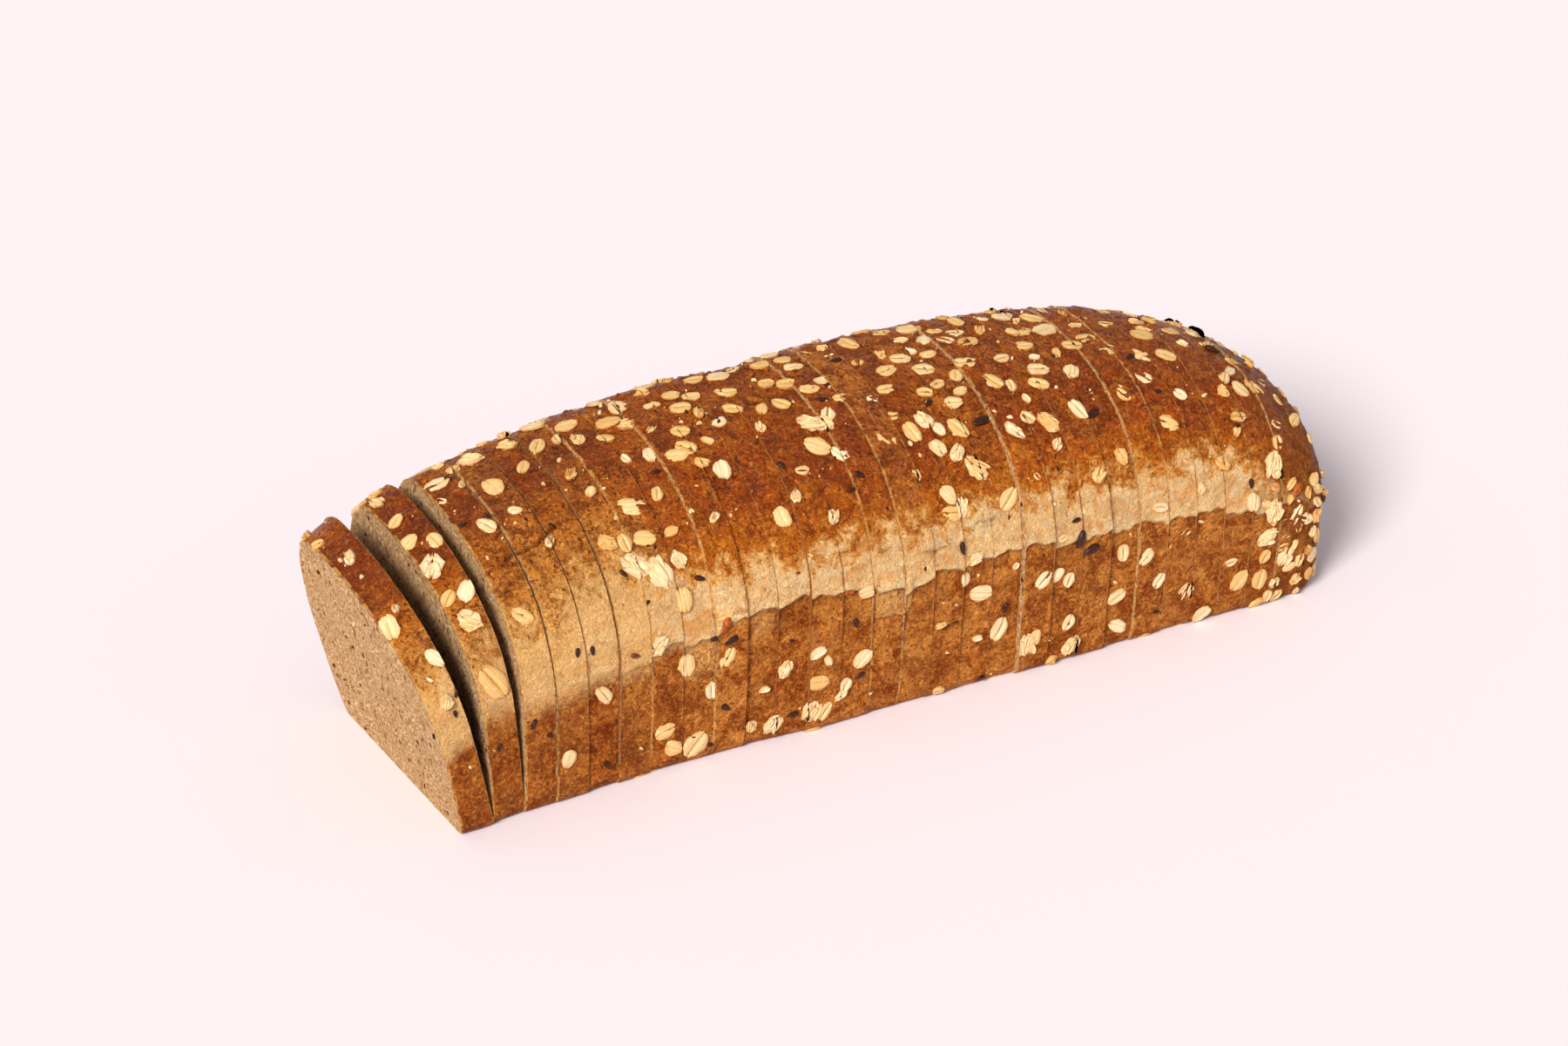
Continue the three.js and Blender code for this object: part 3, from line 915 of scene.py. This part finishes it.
# Oats on the near half: slices from the front, share of the way round, turn in degrees, length,
# kind (0 whole, 1 pale, 2 ragged, 3 ragged and pale)
KEY_OATS = (
    (0.2, 0.37, 80, 9.5, 0), (0.6, 0.236, 40, 5.5, 3), (0.64, 0.385, 60, 3.5, 3), (0.85, 0.295, 125, 7, 1),
    (1.2, 0.48, 15, 7.5, 0), (1.23, 0.364, 45, 7, 0), (1.3, 0.53, 40, 7, 0), (1.33, 0.42, 55, 9.5, 3),
    (1.48, 0.321, 130, 8.5, 3), (1.52, 0.234, 122, 12, 0), (1.55, 0.62, 20, 7, 2),
    (1.77, 0.359, 60, 8.5, 1), (1.79, 0.454, 100, 7, 0), (2.5, 0.3, 135, 8, 0), (2.77, 0.44, 115, 8, 0),
    (2.95, 0.6, 170, 7, 0), (3.35, 0.08, 70, 7, 0), (3.59, 0.573, 160, 9, 3), (3.62, 0.444, 165, 5, 1),
    (3.99, 0.377, 60, 4, 3), (4.5, 0.157, 120, 8, 0), (4.7, 0.566, 165, 7, 2), (5.42, 0.348, 150, 6.5, 2),
    (5.5, 0.464, 60, 5.5, 2), (5.69, 0.425, 45, 4.5, 0), (5.77, 0.003, 170, 6, 0), (5.92, 0.34, 95, 7, 0),
    (5.95, 0.308, 132, 10.5, 3), (6.2, 0.202, 40, 8, 3), (6.27, 0.003, 150, 5, 0), (6.45, 0.072, 20, 8, 0),
    (6.52, 0.336, 165, 8, 0), (6.55, 0.381, 165, 9.5, 0), (6.65, 0.29, 118, 11, 3),
    (6.75, 0.042, 150, 8, 0), (7.1, 0.16, 95, 8.5, 0), (7.17, 0.249, 95, 8.5, 0), (7.4, 0.387, 60, 6, 0),
    (7.45, 0.038, 50, 10.5, 0), (7.9, 0.113, 100, 7, 1), (8.12, 0.349, 90, 3, 1), (8.4, 0.155, 60, 9, 0),
    (8.53, 0.433, 165, 8, 0), (8.91, 0.441, 130, 8, 0), (8.97, 0.537, 165, 6, 0), (9.07, 0.47, 140, 7, 0),
    (9.47, 0.596, 165, 8, 0), (9.52, 0.393, 75, 7.5, 1), (9.61, 0.515, 165, 7.5, 0), (9.62, 0.091, 5, 4, 1),
    (9.62, 0.442, 130, 5, 0), (9.69, 0.546, 170, 6.5, 0), (9.92, 0.036, 50, 7.5, 3),
    (10.15, 0.532, 165, 6.5, 0), (10.24, 0.114, 60, 7, 3), (10.27, 0.467, 20, 5.5, 1),
    (10.6, 0.313, 95, 7.5, 0), (10.7, 0.571, 170, 7, 0), (10.87, 0.486, 150, 6.5, 0),
    (11.12, 0.043, 60, 8, 3), (11.12, 0.524, 165, 7.5, 0), (11.17, 0.336, 60, 4.5, 3),
    (11.21, 0.128, 20, 6.5, 1), (11.22, 0.443, 90, 5, 3), (11.27, 0.004, 170, 7.5, 0),
    (11.27, 0.084, 170, 8.5, 0), (11.37, 0.566, 165, 8, 0), (11.53, 0.039, 60, 7.5, 0),
    (11.57, 0.113, 110, 4, 1), (11.64, 0.474, 60, 6, 0), (11.67, 0.366, 165, 5, 0),
    (12.03, 0.056, 30, 5.5, 1), (12.07, 0.299, 80, 5.5, 3), (12.17, 0.069, 60, 6, 1),
    (12.27, 0.474, 130, 7, 0), (12.37, 0.521, 170, 6, 0), (12.47, 0.393, 140, 9.5, 0),
    (12.7, 0.102, 50, 8, 1), (12.72, 0.4275, 150, 10, 3), (12.77, 0.568, 165, 7, 0),
    (12.87, 0.509, 165, 7, 0), (13.02, 0.374, 125, 7.5, 1), (13.12, 0.421, 120, 7, 3),
    (13.32, 0.434, 60, 6.5, 1), (13.37, 0.485, 165, 7.5, 0), (13.47, 0.561, 165, 6.5, 0),
    (13.52, 0.538, 175, 7, 0), (13.91, 0.495, 165, 6, 0), (14.07, 0.453, 160, 7.5, 0),
    (14.2, 0.447, 10, 6.5, 0), (14.22, 0.561, 150, 6, 0), (14.58, 0.377, 120, 7.5, 0),
    (14.85, 0.44, 130, 5.5, 1), (14.9, 0.325, 110, 7, 2), (15.1, 0.407, 170, 5, 0),
    (15.4, 0.018, 170, 5, 0), (15.42, 0.378, 100, 8.5, 0), (15.45, 0.451, 170, 7, 0),
    (15.72, 0.267, 170, 7, 0), (15.8, 0.289, 120, 7.5, 0), (15.9, 0.484, 5, 7.5, 0),
    (15.97, 0.389, 130, 7.5, 3), (15.98, 0.349, 130, 7, 0), (16.1, 0.175, 100, 5.5, 1),
    (16.14, 0.269, 85, 6.5, 3), (16.29, 0.372, 110, 5.5, 1), (16.4, 0.202, 40, 6, 3),
    (16.5, 0.336, 60, 6.5, 3), (16.5, 0.431, 165, 6, 0), (16.6, 0.082, 5, 4, 1), (16.6, 0.5, 165, 7.5, 0),
    (16.65, 0.148, 165, 9.5, 1), (16.87, 0.368, 120, 8.5, 0), (16.9, 0.572, 165, 7, 0),
    (16.92, 0.311, 120, 9.5, 2), (16.97, 0.47, 160, 8, 0), (17, 0.513, 150, 7, 1),
    (17.15, 0.405, 165, 6.5, 0), (17.2, 0.542, 165, 5.5, 0), (17.35, 0.087, 60, 9, 1),
    (17.4, 0.002, 5, 7, 0), (17.5, 0.497, 10, 6.5, 0), (17.57, 0.42, 10, 5.5, 0), (17.68, 0.265, 45, 9, 0),
    (17.8, 0.174, 45, 3, 1), (18.25, 0.055, 95, 9, 3), (18.3, 0.47, 165, 9, 0), (18.4, 0.525, 140, 6.5, 0),
    (18.4, 0.552, 170, 6, 0), (18.5, 0.35, 120, 7.5, 3), (18.55, 0.063, 90, 7, 0),
    (18.7, 0.147, 50, 7.5, 1), (18.7, 0.287, 120, 3, 0), (18.7, 0.428, 125, 8, 0), (18.9, 0.538, 165, 7, 0),
    (19.1, 0.363, 130, 6, 0), (19.2, 0.147, 60, 6, 1), (19.3, 0.201, 20, 4, 0), (19.4, 0.39, 100, 4, 1),
    (19.5, 0.463, 10, 6, 0), (19.6, 0.136, 70, 6, 1), (19.7, 0.07, 60, 6.5, 1), (19.7, 0.32, 60, 5, 3),
    (19.7, 0.351, 120, 9, 2), (19.85, 0.034, 60, 8, 3), (20.05, 0.41, 150, 7.5, 0),
    (20.3, 0.434, 170, 8.5, 0), (20.5, 0.457, 160, 4, 1), (20.5, 0.484, 170, 7, 0),
    (20.6, 0.518, 130, 5.5, 0), (20.7, 0.271, 60, 6, 2), (20.8, 0.361, 110, 8.5, 1),
    (20.95, 0.513, 160, 6, 0), (21.3, 0.418, 60, 6.5, 3), (21.35, 0.089, 30, 8, 1),
    (21.5, 0.043, 150, 8, 1), (21.5, 0.155, 95, 7, 0), (21.95, 0.468, 165, 7.5, 0), (22.3, 0.142, 50, 7, 1),
    (22.45, 0.37, 115, 6, 0), (22.56, 0.48, 5, 7.5, 0), (22.6, 0.006, 30, 5.5, 0), (22.7, 0.517, 165, 5, 0),
    (22.8, 0.1, 55, 6.5, 1), (22.85, 0.447, 165, 6.5, 0), (23, 0.147, 40, 5.5, 0), (23, 0.452, 165, 4.5, 0),
    (23.4, 0.393, 130, 7.5, 1), (23.54, 0.32, 150, 8, 0), (23.7, 0.165, 30, 5, 1), (23.7, 0.512, 165, 6, 0),
    (23.7, 0.557, 165, 6.5, 0), (23.8, 0.073, 60, 8, 3), (23.8, 0.43, 150, 7.5, 2),
    (23.85, 0.003, 30, 5, 0), (24, 0.407, 165, 3, 1), (24.3, 0.36, 140, 5.5, 1), (24.3, 0.567, 165, 6, 0),
    (24.5, 0.024, 45, 8, 1), (24.5, 0.48, 165, 8.5, 0), (24.65, 0.43, 145, 8, 0),
    (24.75, 0.497, 130, 5.5, 0), (24.9, 0.527, 165, 5.5, 0), (25.35, 0.102, 10, 5, 1),
    (25.7, 0.299, 80, 3.5, 2), (25.75, 0.068, 50, 9, 0), (25.8, 0.362, 120, 5, 2),
    (25.95, 0.197, 95, 7.5, 1), (26.45, 0.062, 80, 8, 0), (26.5, 0.368, 125, 7.5, 0),
    (26.55, 0.101, 60, 6, 0), (26.6, 0.133, 10, 8, 3), (26.7, 0.179, 80, 9, 3), (26.8, 0.249, 80, 9.5, 3),
    (27.1, 0.282, 80, 5.5, 0), (27.1, 0.375, 130, 8, 0), (27.2, 0.022, 60, 6, 0), (27.3, 0.094, 60, 9, 3),
    (27.6, 0.168, 60, 7.5, 1), (27.8, 0.048, 40, 5, 2),
)


def surface_spot(along, share):
    """Point on the crust with its along, round and outward directions."""
    def at(x):
        line, tear = section_at(x, SPOT_STEPS)
        place = share * (SPOT_STEPS - 1)
        low = int(min(SPOT_STEPS - 2, math.floor(place)))
        part = place - low
        point = line[low] * (1 - part) + line[low + 1] * part
        near_points = line[max(0, low - 2)], line[min(SPOT_STEPS - 1, low + 3)]
        return np.array([x, *point]), near_points, tear
    number = slice_of(along)
    last = CUT_LENGTH + 0.97 * HEEL if number == SLICES else (number + 1) * PITCH - 0.2
    first = number * PITCH + 0.2
    here, (before, after), tear = at(along)
    ahead = at(min(last, along + 0.6))[0]
    behind = at(max(first, along - 0.6))[0]
    forward = ahead - behind
    about = np.array([0.0, after[0] - before[0], after[1] - before[1]])
    about /= np.linalg.norm(about)
    outward = np.cross(forward, about)
    outward /= np.linalg.norm(outward)
    forward = np.cross(about, outward)
    lip = LIP if share < 0.5 else FAR_LIP
    lip *= min(1.0, max(0.15, (along - 30) / 70))
    above = here[2] - tear
    proud = lip * math.exp(-above / LIP_FADE) if above > 0 else 0.0
    return here + outward * proud, forward, about, outward, number


class Scatter:
    """Gathers many small closed shapes into one mesh."""

    def __init__(self):
        self.vertices = []
        self.faces = []
        self.tint = []
        self.crease = []
        self.rim = []
        self.lane = []
        self.count = 0

    def put(self, form, spot, turn, tint, lift):
        """Lays a form, in millimetres, on the crust, cut where its slice ends."""
        shape, faces, crease, rim = form
        here, forward, about, outward, number = spot
        c, s = math.cos(turn), math.sin(turn)
        x = shape[:, 0] * c - shape[:, 1] * s
        y = shape[:, 0] * s + shape[:, 1] * c
        z = shape[:, 2] + lift - y * y / 110.0
        world = here + np.outer(x, forward) + np.outer(y, about) + np.outer(z, outward)
        if number < SLICES:
            low = number * PITCH + SEAM / 2
            high = (number + 1) * PITCH - SEAM / 2
            world[:, 0] = np.clip(world[:, 0], low, high)
        else:
            world[:, 0] = np.maximum(world[:, 0], CUT_LENGTH + SEAM / 2)
        self.vertices.append(to_frame(tipped(world, number)))
        self.faces += [tuple(i + self.count for i in f) for f in faces]
        self.tint.append(np.full(len(shape), tint))
        self.crease.append(crease)
        self.rim.append(rim)
        self.lane.append(shape[:, 1] * 1.7 + 31.0 * len(self.lane))
        self.count += len(shape)

    def piece(self, name, material, slot):
        marks = {"tint": self.tint, "crease": self.crease, "rim": self.rim, "lane": self.lane}
        marks = {key: np.concatenate(values) for key, values in marks.items()}
        thing = add_mesh(name, np.concatenate(self.vertices), self.faces, [material], None, marks)
        creased(thing, 0.75)
        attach(thing, "root")


FINE_ROWS = 9
FINE_PLACES = (-1.0, -0.86, -0.46, -0.15, 0.0, 0.15, 0.46, 0.86, 1.0)
PLAIN_ROWS = 7
PLAIN_PLACES = (-1.0, -0.5, 0.0, 0.5, 1.0)


def flake_shape(draw, length, width, ragged, fine=True):
    """A rolled oat: a thin oval of two lobes with a crease between, its ends split when ragged."""
    places = FINE_PLACES if fine else PLAIN_PLACES
    rows = FINE_ROWS if fine else PLAIN_ROWS
    columns = len(places)
    lean = draw.uniform(-0.1, 0.1)
    bend = draw.uniform(-0.12, 0.12)
    lobes = draw.uniform(0.1, 0.32, 2)
    reach = 1 + ragged * draw.uniform(-1.6, 1.0, (2, columns))
    notch = ragged * draw.uniform(-1.2, 1.2, (rows, 2))
    creased_share = min(1.0, max(0.0, draw.uniform(-0.8, 1.9)))
    twist = draw.uniform(-0.35, 0.35)
    lumpy = draw.uniform(-0.14, 0.14, (rows, columns))
    u, v = np.meshgrid(np.sin(np.linspace(-1, 1, rows) * math.pi / 2), places, indexing="ij")
    spread = np.sqrt(np.clip(1 - (0.985 * u) ** 2, 0, 1)) ** 0.85
    out = spread * (1 + np.where(v < 0, notch[:, :1], notch[:, 1:]) * abs(v))
    end = np.where(u < 0, reach[0], reach[1])
    x = u * (1 + (end - 1) * u ** 2) * length / 2
    y = (v * out + lean * u + bend * u ** 2) * width / 2
    fold = bell(v, 0, 0.13) * (1 - u ** 4) * creased_share
    lobe = np.where(v < 0, *lobes) * np.sin(math.pi * abs(v))
    rim = np.maximum(abs(v), abs(u)) ** 5
    z = 0.5 + lobe - 0.2 * rim - 0.5 * fold + twist * u * v + lumpy * (1 + 3 * ragged)
    flat = np.stack([x, y, z], 2).reshape(-1, 3)
    index = np.arange(rows * columns).reshape(rows, columns)
    ring = np.concatenate([index[0], index[1:, -1], index[-1, -2::-1], index[-2:0:-1, 0]]).tolist()
    under = flat[ring] * [0.94, 0.94, 0.0] - [0, 0, 0.55]
    faces = []
    for row in range(rows - 1):
        for a in range(row * columns, (row + 1) * columns - 1):
            faces.append((a, a + columns, a + columns + 1, a + 1))
    base = len(flat)
    for i, corner in enumerate(ring):
        j = (i + 1) % len(ring)
        faces.append((corner, ring[j], base + j, base + i))
    faces.append(tuple(base + i for i in range(len(ring))))
    crease = np.concatenate([fold.ravel(), np.zeros(len(ring))])
    rim = np.concatenate([rim.ravel(), np.ones(len(ring))])
    return np.concatenate([flat, under]), faces, crease, rim


def chip_shape(draw, size):
    """A crumb of broken oat: a small uneven lump."""
    around = 7
    turn = np.arange(around) / around * 2 * math.pi
    reach = size / 2 * draw.uniform(0.6, 1.2, around)
    x = reach * np.cos(turn)
    y = reach * np.sin(turn) * draw.uniform(0.45, 0.8)
    high = size * 0.28
    top = np.column_stack([x * 0.7, y * 0.7, np.full(around, high) * draw.uniform(0.7, 1.2, around)])
    low = np.column_stack([x, y, np.full(around, -0.4)])
    shape = np.concatenate([top, low])
    faces = [tuple(range(around)), tuple(around + i for i in reversed(range(around)))]
    for i in range(around):
        j = (i + 1) % around
        faces.append((around + i, around + j, j, i))
    blank = np.zeros(len(shape))
    return shape, faces, blank, blank


def seed_shape(length, width):
    """A whole seed: a smooth drop, sunk a little into the crust."""
    around = 12
    rows = 6
    angle = np.repeat(np.arange(1, rows + 1) / (rows + 1), around) * math.pi
    turn = np.tile(np.arange(around) / around, rows) * 2 * math.pi
    reach = np.sin(angle) * (1 - 0.28 * np.cos(angle)) * width / 2
    x = -np.cos(angle) * length / 2
    points = np.column_stack([x, reach * np.cos(turn), 0.7 * reach * np.sin(turn)])
    points = np.concatenate([points, [(-length / 2, 0, 0), (length / 2, 0, 0)]])
    faces = [face[::-1] for face in grid_faces(rows, around)]
    first = rows * around
    last = first - around
    for i in range(around):
        j = (i + 1) % around
        faces.append((first, j, i))
        faces.append((first + 1, last + i, last + j))
    blank = np.zeros(len(points))
    return points, faces, blank, blank


def in_corner(along, share):
    return along > CORNER and share < CORNER_SHARE


def oat_chance(along, share):
    """How likely the crust is to hold one more small oat here."""
    if in_corner(along, share):
        return 1.0
    if along > CUT_LENGTH - 10:
        return 0.9 if share > 0.4 else 0.5
    if share > 0.5:
        return 0.35 if share < 0.72 else 0.12
    if along < 84:
        return 0.0
    return 0.12 if share > 0.4 else 0.03


def solid_oat_chance(along, share):
    """The chance by which the solids hold an oat here."""
    dome = math.exp(-(((share - 0.58) / 0.17) ** 2))
    rear = 0.35 + 0.65 * (along / CUT_LENGTH)
    front_dome = 0.3 * rear if 0.22 < share < 0.5 else 0
    wall = 0
    if share < 0.22 or share > 0.8:
        wall = 0.75 * min(1, max(0.1, (along - 60) / 50))
    return max(dome * rear, front_dome, wall)


def solid_oats():
    """The oats of the solids, drawn in the same order, as (along, share, turn, size)."""
    draw = stream(28)
    placed = []
    for _ in range(OAT_TRIES):
        along = PITCH * 0.2 + next(draw) * (CUT_LENGTH + HEEL * 0.4)
        share = 0.03 + 0.94 * next(draw)
        turn = next(draw) * math.pi
        size = 0.85 + 0.3 * next(draw)
        spaced = [math.hypot(along - a, (share - b) * 290) for a, b, _, _ in placed]
        clear = all(apart > OAT_SPACING for apart in spaced)
        if next(draw) < solid_oat_chance(along, share) and clear:
            placed.append((along, share, turn, size))
    return placed


def lay_oats(material):
    draw = np.random.default_rng(28)
    flakes = Scatter()
    placed = []

    def free(along, share, spacing):
        return all(math.hypot(along - x, share * GIRTH - y) > spacing for x, y in placed)

    def lay(along, share, turn, length, ragged, tint):
        width = length * draw.uniform(0.64, 0.84)
        form = flake_shape(draw, length, width, ragged, length > FINE_LENGTH)
        spots = [surface_spot(along, share)]
        number = slice_of(along)
        for edge in (number * PITCH, (number + 1) * PITCH):
            if 0 < edge < CUT_LENGTH + 1 and abs(along - edge) < 0.3 * length and number > 2:
                beyond = edge + math.copysign(0.35, edge - along)
                spot = surface_spot(beyond, share)
                here = spot[0] + spot[1] * (along - beyond)
                spots.append((here, *spot[1:]))
        lift = draw.uniform(0.0, 0.25)
        for spot in spots:
            flakes.put(form, spot, turn, tint, lift)
        placed.append((along, share * GIRTH))
        if ragged > SHREDDED:
            shred(spots, turn, length, width, lift, tint)

    def shred(spots, turn, length, width, lift, tint):
        """Split layers that lie on a ragged flake."""
        for side in (-1, 0, 1):
            long = length * draw.uniform(0.45, 0.85)
            narrow = width * draw.uniform(0.26, 0.4)
            shape, *rest = flake_shape(draw, long, narrow, 0.12, False)
            aside = side * width * draw.uniform(0.2, 0.36)
            on = (length - long) * draw.uniform(-0.5, 0.5)
            yaw = draw.uniform(-0.4, 0.4)
            c, z = math.cos(yaw), math.sin(yaw)
            moved = np.column_stack([
                shape[:, 0] * c - shape[:, 1] * z + on,
                shape[:, 0] * z + shape[:, 1] * c + aside,
                shape[:, 2],
            ])
            up = lift + draw.uniform(0.3, 0.8)
            for spot in spots:
                flakes.put((moved, *rest), spot, turn, tint * draw.uniform(0.8, 1.0), up)

    for slices, share, degrees, length, kind in KEY_OATS:
        pale = draw.uniform(0.75, 1.0) if kind in (1, 3) else draw.uniform(0.3, 0.75)
        ragged = draw.uniform(0.15, 0.2) if kind in (2, 3) else draw.uniform(0.03, 0.1)
        lay(slices * PITCH, share, math.radians(degrees), length, ragged, pale)
    for along, share, turn, size in solid_oats():
        if share > 0.5 and free(along, share, FAR_SPACING):
            length = OAT_LENGTH * size
            lay(along, share, turn, length, draw.uniform(0.03, 0.12), draw.uniform(0.2, 0.9))
    for _ in range(SMALL_OAT_TRIES):
        along = draw.uniform(1.5, CUT_LENGTH + HEEL * 0.93)
        share = draw.uniform(0.015, 0.985)
        chance = draw.uniform(0, 1)
        length = draw.uniform(3.6, 6.8)
        turn = draw.uniform(0, math.pi)
        ragged = draw.uniform(0.02, 0.2)
        tint = draw.uniform(0.15, 0.95)
        spacing = CORNER_SPACING if in_corner(along, share) else SMALL_SPACING
        if chance < oat_chance(along, share) and free(along, share, spacing):
            lay(along, share, turn, length, ragged, tint)
    flakes.piece("oat_flakes", material, "crust")


def lay_chips(material):
    draw = np.random.default_rng(5)
    chips = Scatter()
    for _ in range(CHIP_TRIES):
        along = draw.uniform(1.0, CUT_LENGTH + HEEL * 0.9)
        share = draw.uniform(0.02, 0.98)
        chance = draw.uniform(0, 1)
        size = 0.7 + 2.0 * draw.uniform(0, 1) ** 2.5
        turn = draw.uniform(0, math.pi)
        tint = draw.uniform(0.4, 1.0)
        likely = 0.5 if share > 0.34 else 0.16
        if chance < likely * (1.0 if along > 84 or share > 0.42 else 0.35):
            chips.put(chip_shape(draw, size), surface_spot(along, share), turn, tint, 0.0)
    chips.piece("oat_chips", material, "crust")


# Seeds that stand out: slices from the front, share of the way round, turn, length, tint
KEY_SEEDS = (
    (3.75, 0.23, 80, 3.5, 0.2), (4.2, 0.224, 90, 3.5, 0.2), (6, 0.259, 20, 3.5, 0.2),
    (7.7, 0.419, 0, 3.5, 0.3), (7.93, 0.031, 0, 3, 0.2), (7.96, 0.189, 0, 4, 0.15),
    (8.3, 0.203, 60, 6.5, 0.95), (8.37, 0.082, 140, 5, 0.2), (8.5, 0.178, 20, 6, 0.15),
    (10.54, 0.044, 0, 4.5, 0.2), (10.67, 0.243, 0, 2, 0.6), (11.17, 0.38, 120, 4, 0.2),
    (12.14, 0.204, 0, 4, 0.7), (12.64, 0.078, 20, 4, 0.2), (13.3, 0.34, 140, 5, 0.2),
    (13.47, 0.459, 165, 5, 0.1), (13.97, 0.483, 0, 4, 0.2), (14.6, 0.422, 0, 4, 0.2),
    (14.7, 0.204, 95, 4, 0.2), (14.77, 0.526, 0, 6.5, 0.1), (15.96, 0.22, 95, 5, 0.25),
    (16.4, 0.412, 30, 4, 0.2), (16.9, 0.018, 0, 3, 0.2), (17.5, 0.117, 60, 4, 0.3),
    (17.65, 0.37, 10, 7, 0.1), (19.9, 0.194, 60, 7.5, 0.05), (20.3, 0.174, 20, 7, 0.05),
    (21.2, 0.349, 20, 6, 0.1), (22.8, 0.05, 0, 3, 0.2), (23.4, 0.427, 30, 6, 0.1), (23.6, 0.366, 0, 4, 0.1),
    (24.7, 0.16, 0, 2.5, 0.6), (25.9, 0.224, 95, 4, 0.2), (26.6, 0.457, 150, 6, 0.2),
    (27.5, 0.209, 45, 7, 0.8),
)


def lay_seeds(material):
    draw = np.random.default_rng(11)
    seeds = Scatter()
    for slices, share, degrees, length, tint in KEY_SEEDS:
        form = seed_shape(length, length * 0.48)
        seeds.put(form, surface_spot(slices * PITCH, share), math.radians(degrees), tint, 0.35)
    for _ in range(SMALL_SEEDS):
        along = draw.uniform(3, CUT_LENGTH + HEEL * 0.8)
        share = draw.uniform(0.03, 0.97)
        length = draw.uniform(1.6, 4.2)
        form = seed_shape(length, length * draw.uniform(0.4, 0.6))
        turn = draw.uniform(0, math.pi)
        tint = draw.uniform(0, 0.75)
        seeds.put(form, surface_spot(along, share), turn, tint, 0.1)
    seeds.piece("seeds", material, "crust")


# Stage, light and camera

FLOOR_REACH = 8.0


def floor():
    n = Nodes("pale_paper", 0.9, 0.1)
    n.shader.inputs["Base Color"].default_value = (*srgb(250, 240, 243), 1)
    r = FLOOR_REACH
    corners = [(-r, -r, 0), (r, -r, 0), (r, r, 0), (-r, r, 0)]
    plane = add_mesh("floor", corners, [(0, 1, 2, 3)], [n.material])


def aim(thing, place, target):
    thing.location = place
    thing.rotation_euler = (Vector(target) - Vector(place)).to_track_quat("-Z", "Y").to_euler()


def studio():
    world = bpy.data.worlds.new("studio")
    world.use_nodes = True
    background = world.node_tree.nodes["Background"]
    background.inputs["Color"].default_value = (1.0, 0.962, 0.985, 1)
    background.inputs["Strength"].default_value = 0.43
    bpy.context.scene.world = world
    light = bpy.data.lights.new("key", "SUN")
    light.energy = 3.55
    light.angle = math.radians(20)
    light.color = (1.0, 0.975, 0.955)
    thing = bpy.data.objects.new("key", light)
    bpy.context.scene.collection.objects.link(thing)
    aim(thing, (-0.663, -0.497, 0.559), (0, 0, 0))
    bpy.context.scene.view_settings.view_transform = "Standard"


# The photograph's view: where it looks, from which side, how far and how it is framed
LOOK_AT = (170.0, 0.0, 45.0)
VIEW_TURN = 29.0
VIEW_RISE = 28.0
VIEW_DISTANCE = 1600.0
VIEW_ASIDE = 18.0
VIEW_BELOW = -5.0
PIXELS_PER_MM = 3.27
PHOTO_WIDTH = 1800
SENSOR = 36.0


def camera():
    a = math.radians(VIEW_TURN)
    e = math.radians(VIEW_RISE)
    right = Vector((math.cos(a), -math.sin(a), 0))
    look = Vector((math.sin(a) * math.cos(e), math.cos(a) * math.cos(e), -math.sin(e)))
    up = right.cross(look)
    target = Vector(LOOK_AT) + Vector(SHIFT)
    place = target - right * VIEW_ASIDE - up * VIEW_BELOW - look * VIEW_DISTANCE
    data = bpy.data.cameras.new("camera")
    data.sensor_width = SENSOR
    data.lens = PIXELS_PER_MM * VIEW_DISTANCE / PHOTO_WIDTH * SENSOR
    data.clip_end = 50
    thing = bpy.data.objects.new("camera", data)
    turn = Matrix((right, up, -look)).transposed().to_4x4()
    thing.matrix_world = Matrix.Translation(place * MM) @ turn
    bpy.context.scene.collection.objects.link(thing)
    bpy.context.scene.camera = thing


camera()
studio()
floor()
crust = crust_material()
crumb = crumb_material()
for number in range(SLICES):
    slice_piece(number, crust, crumb)
heel_piece(crust, crumb)
oat = oat_material()
lay_oats(oat)
lay_chips(oat)
lay_seeds(seed_material())
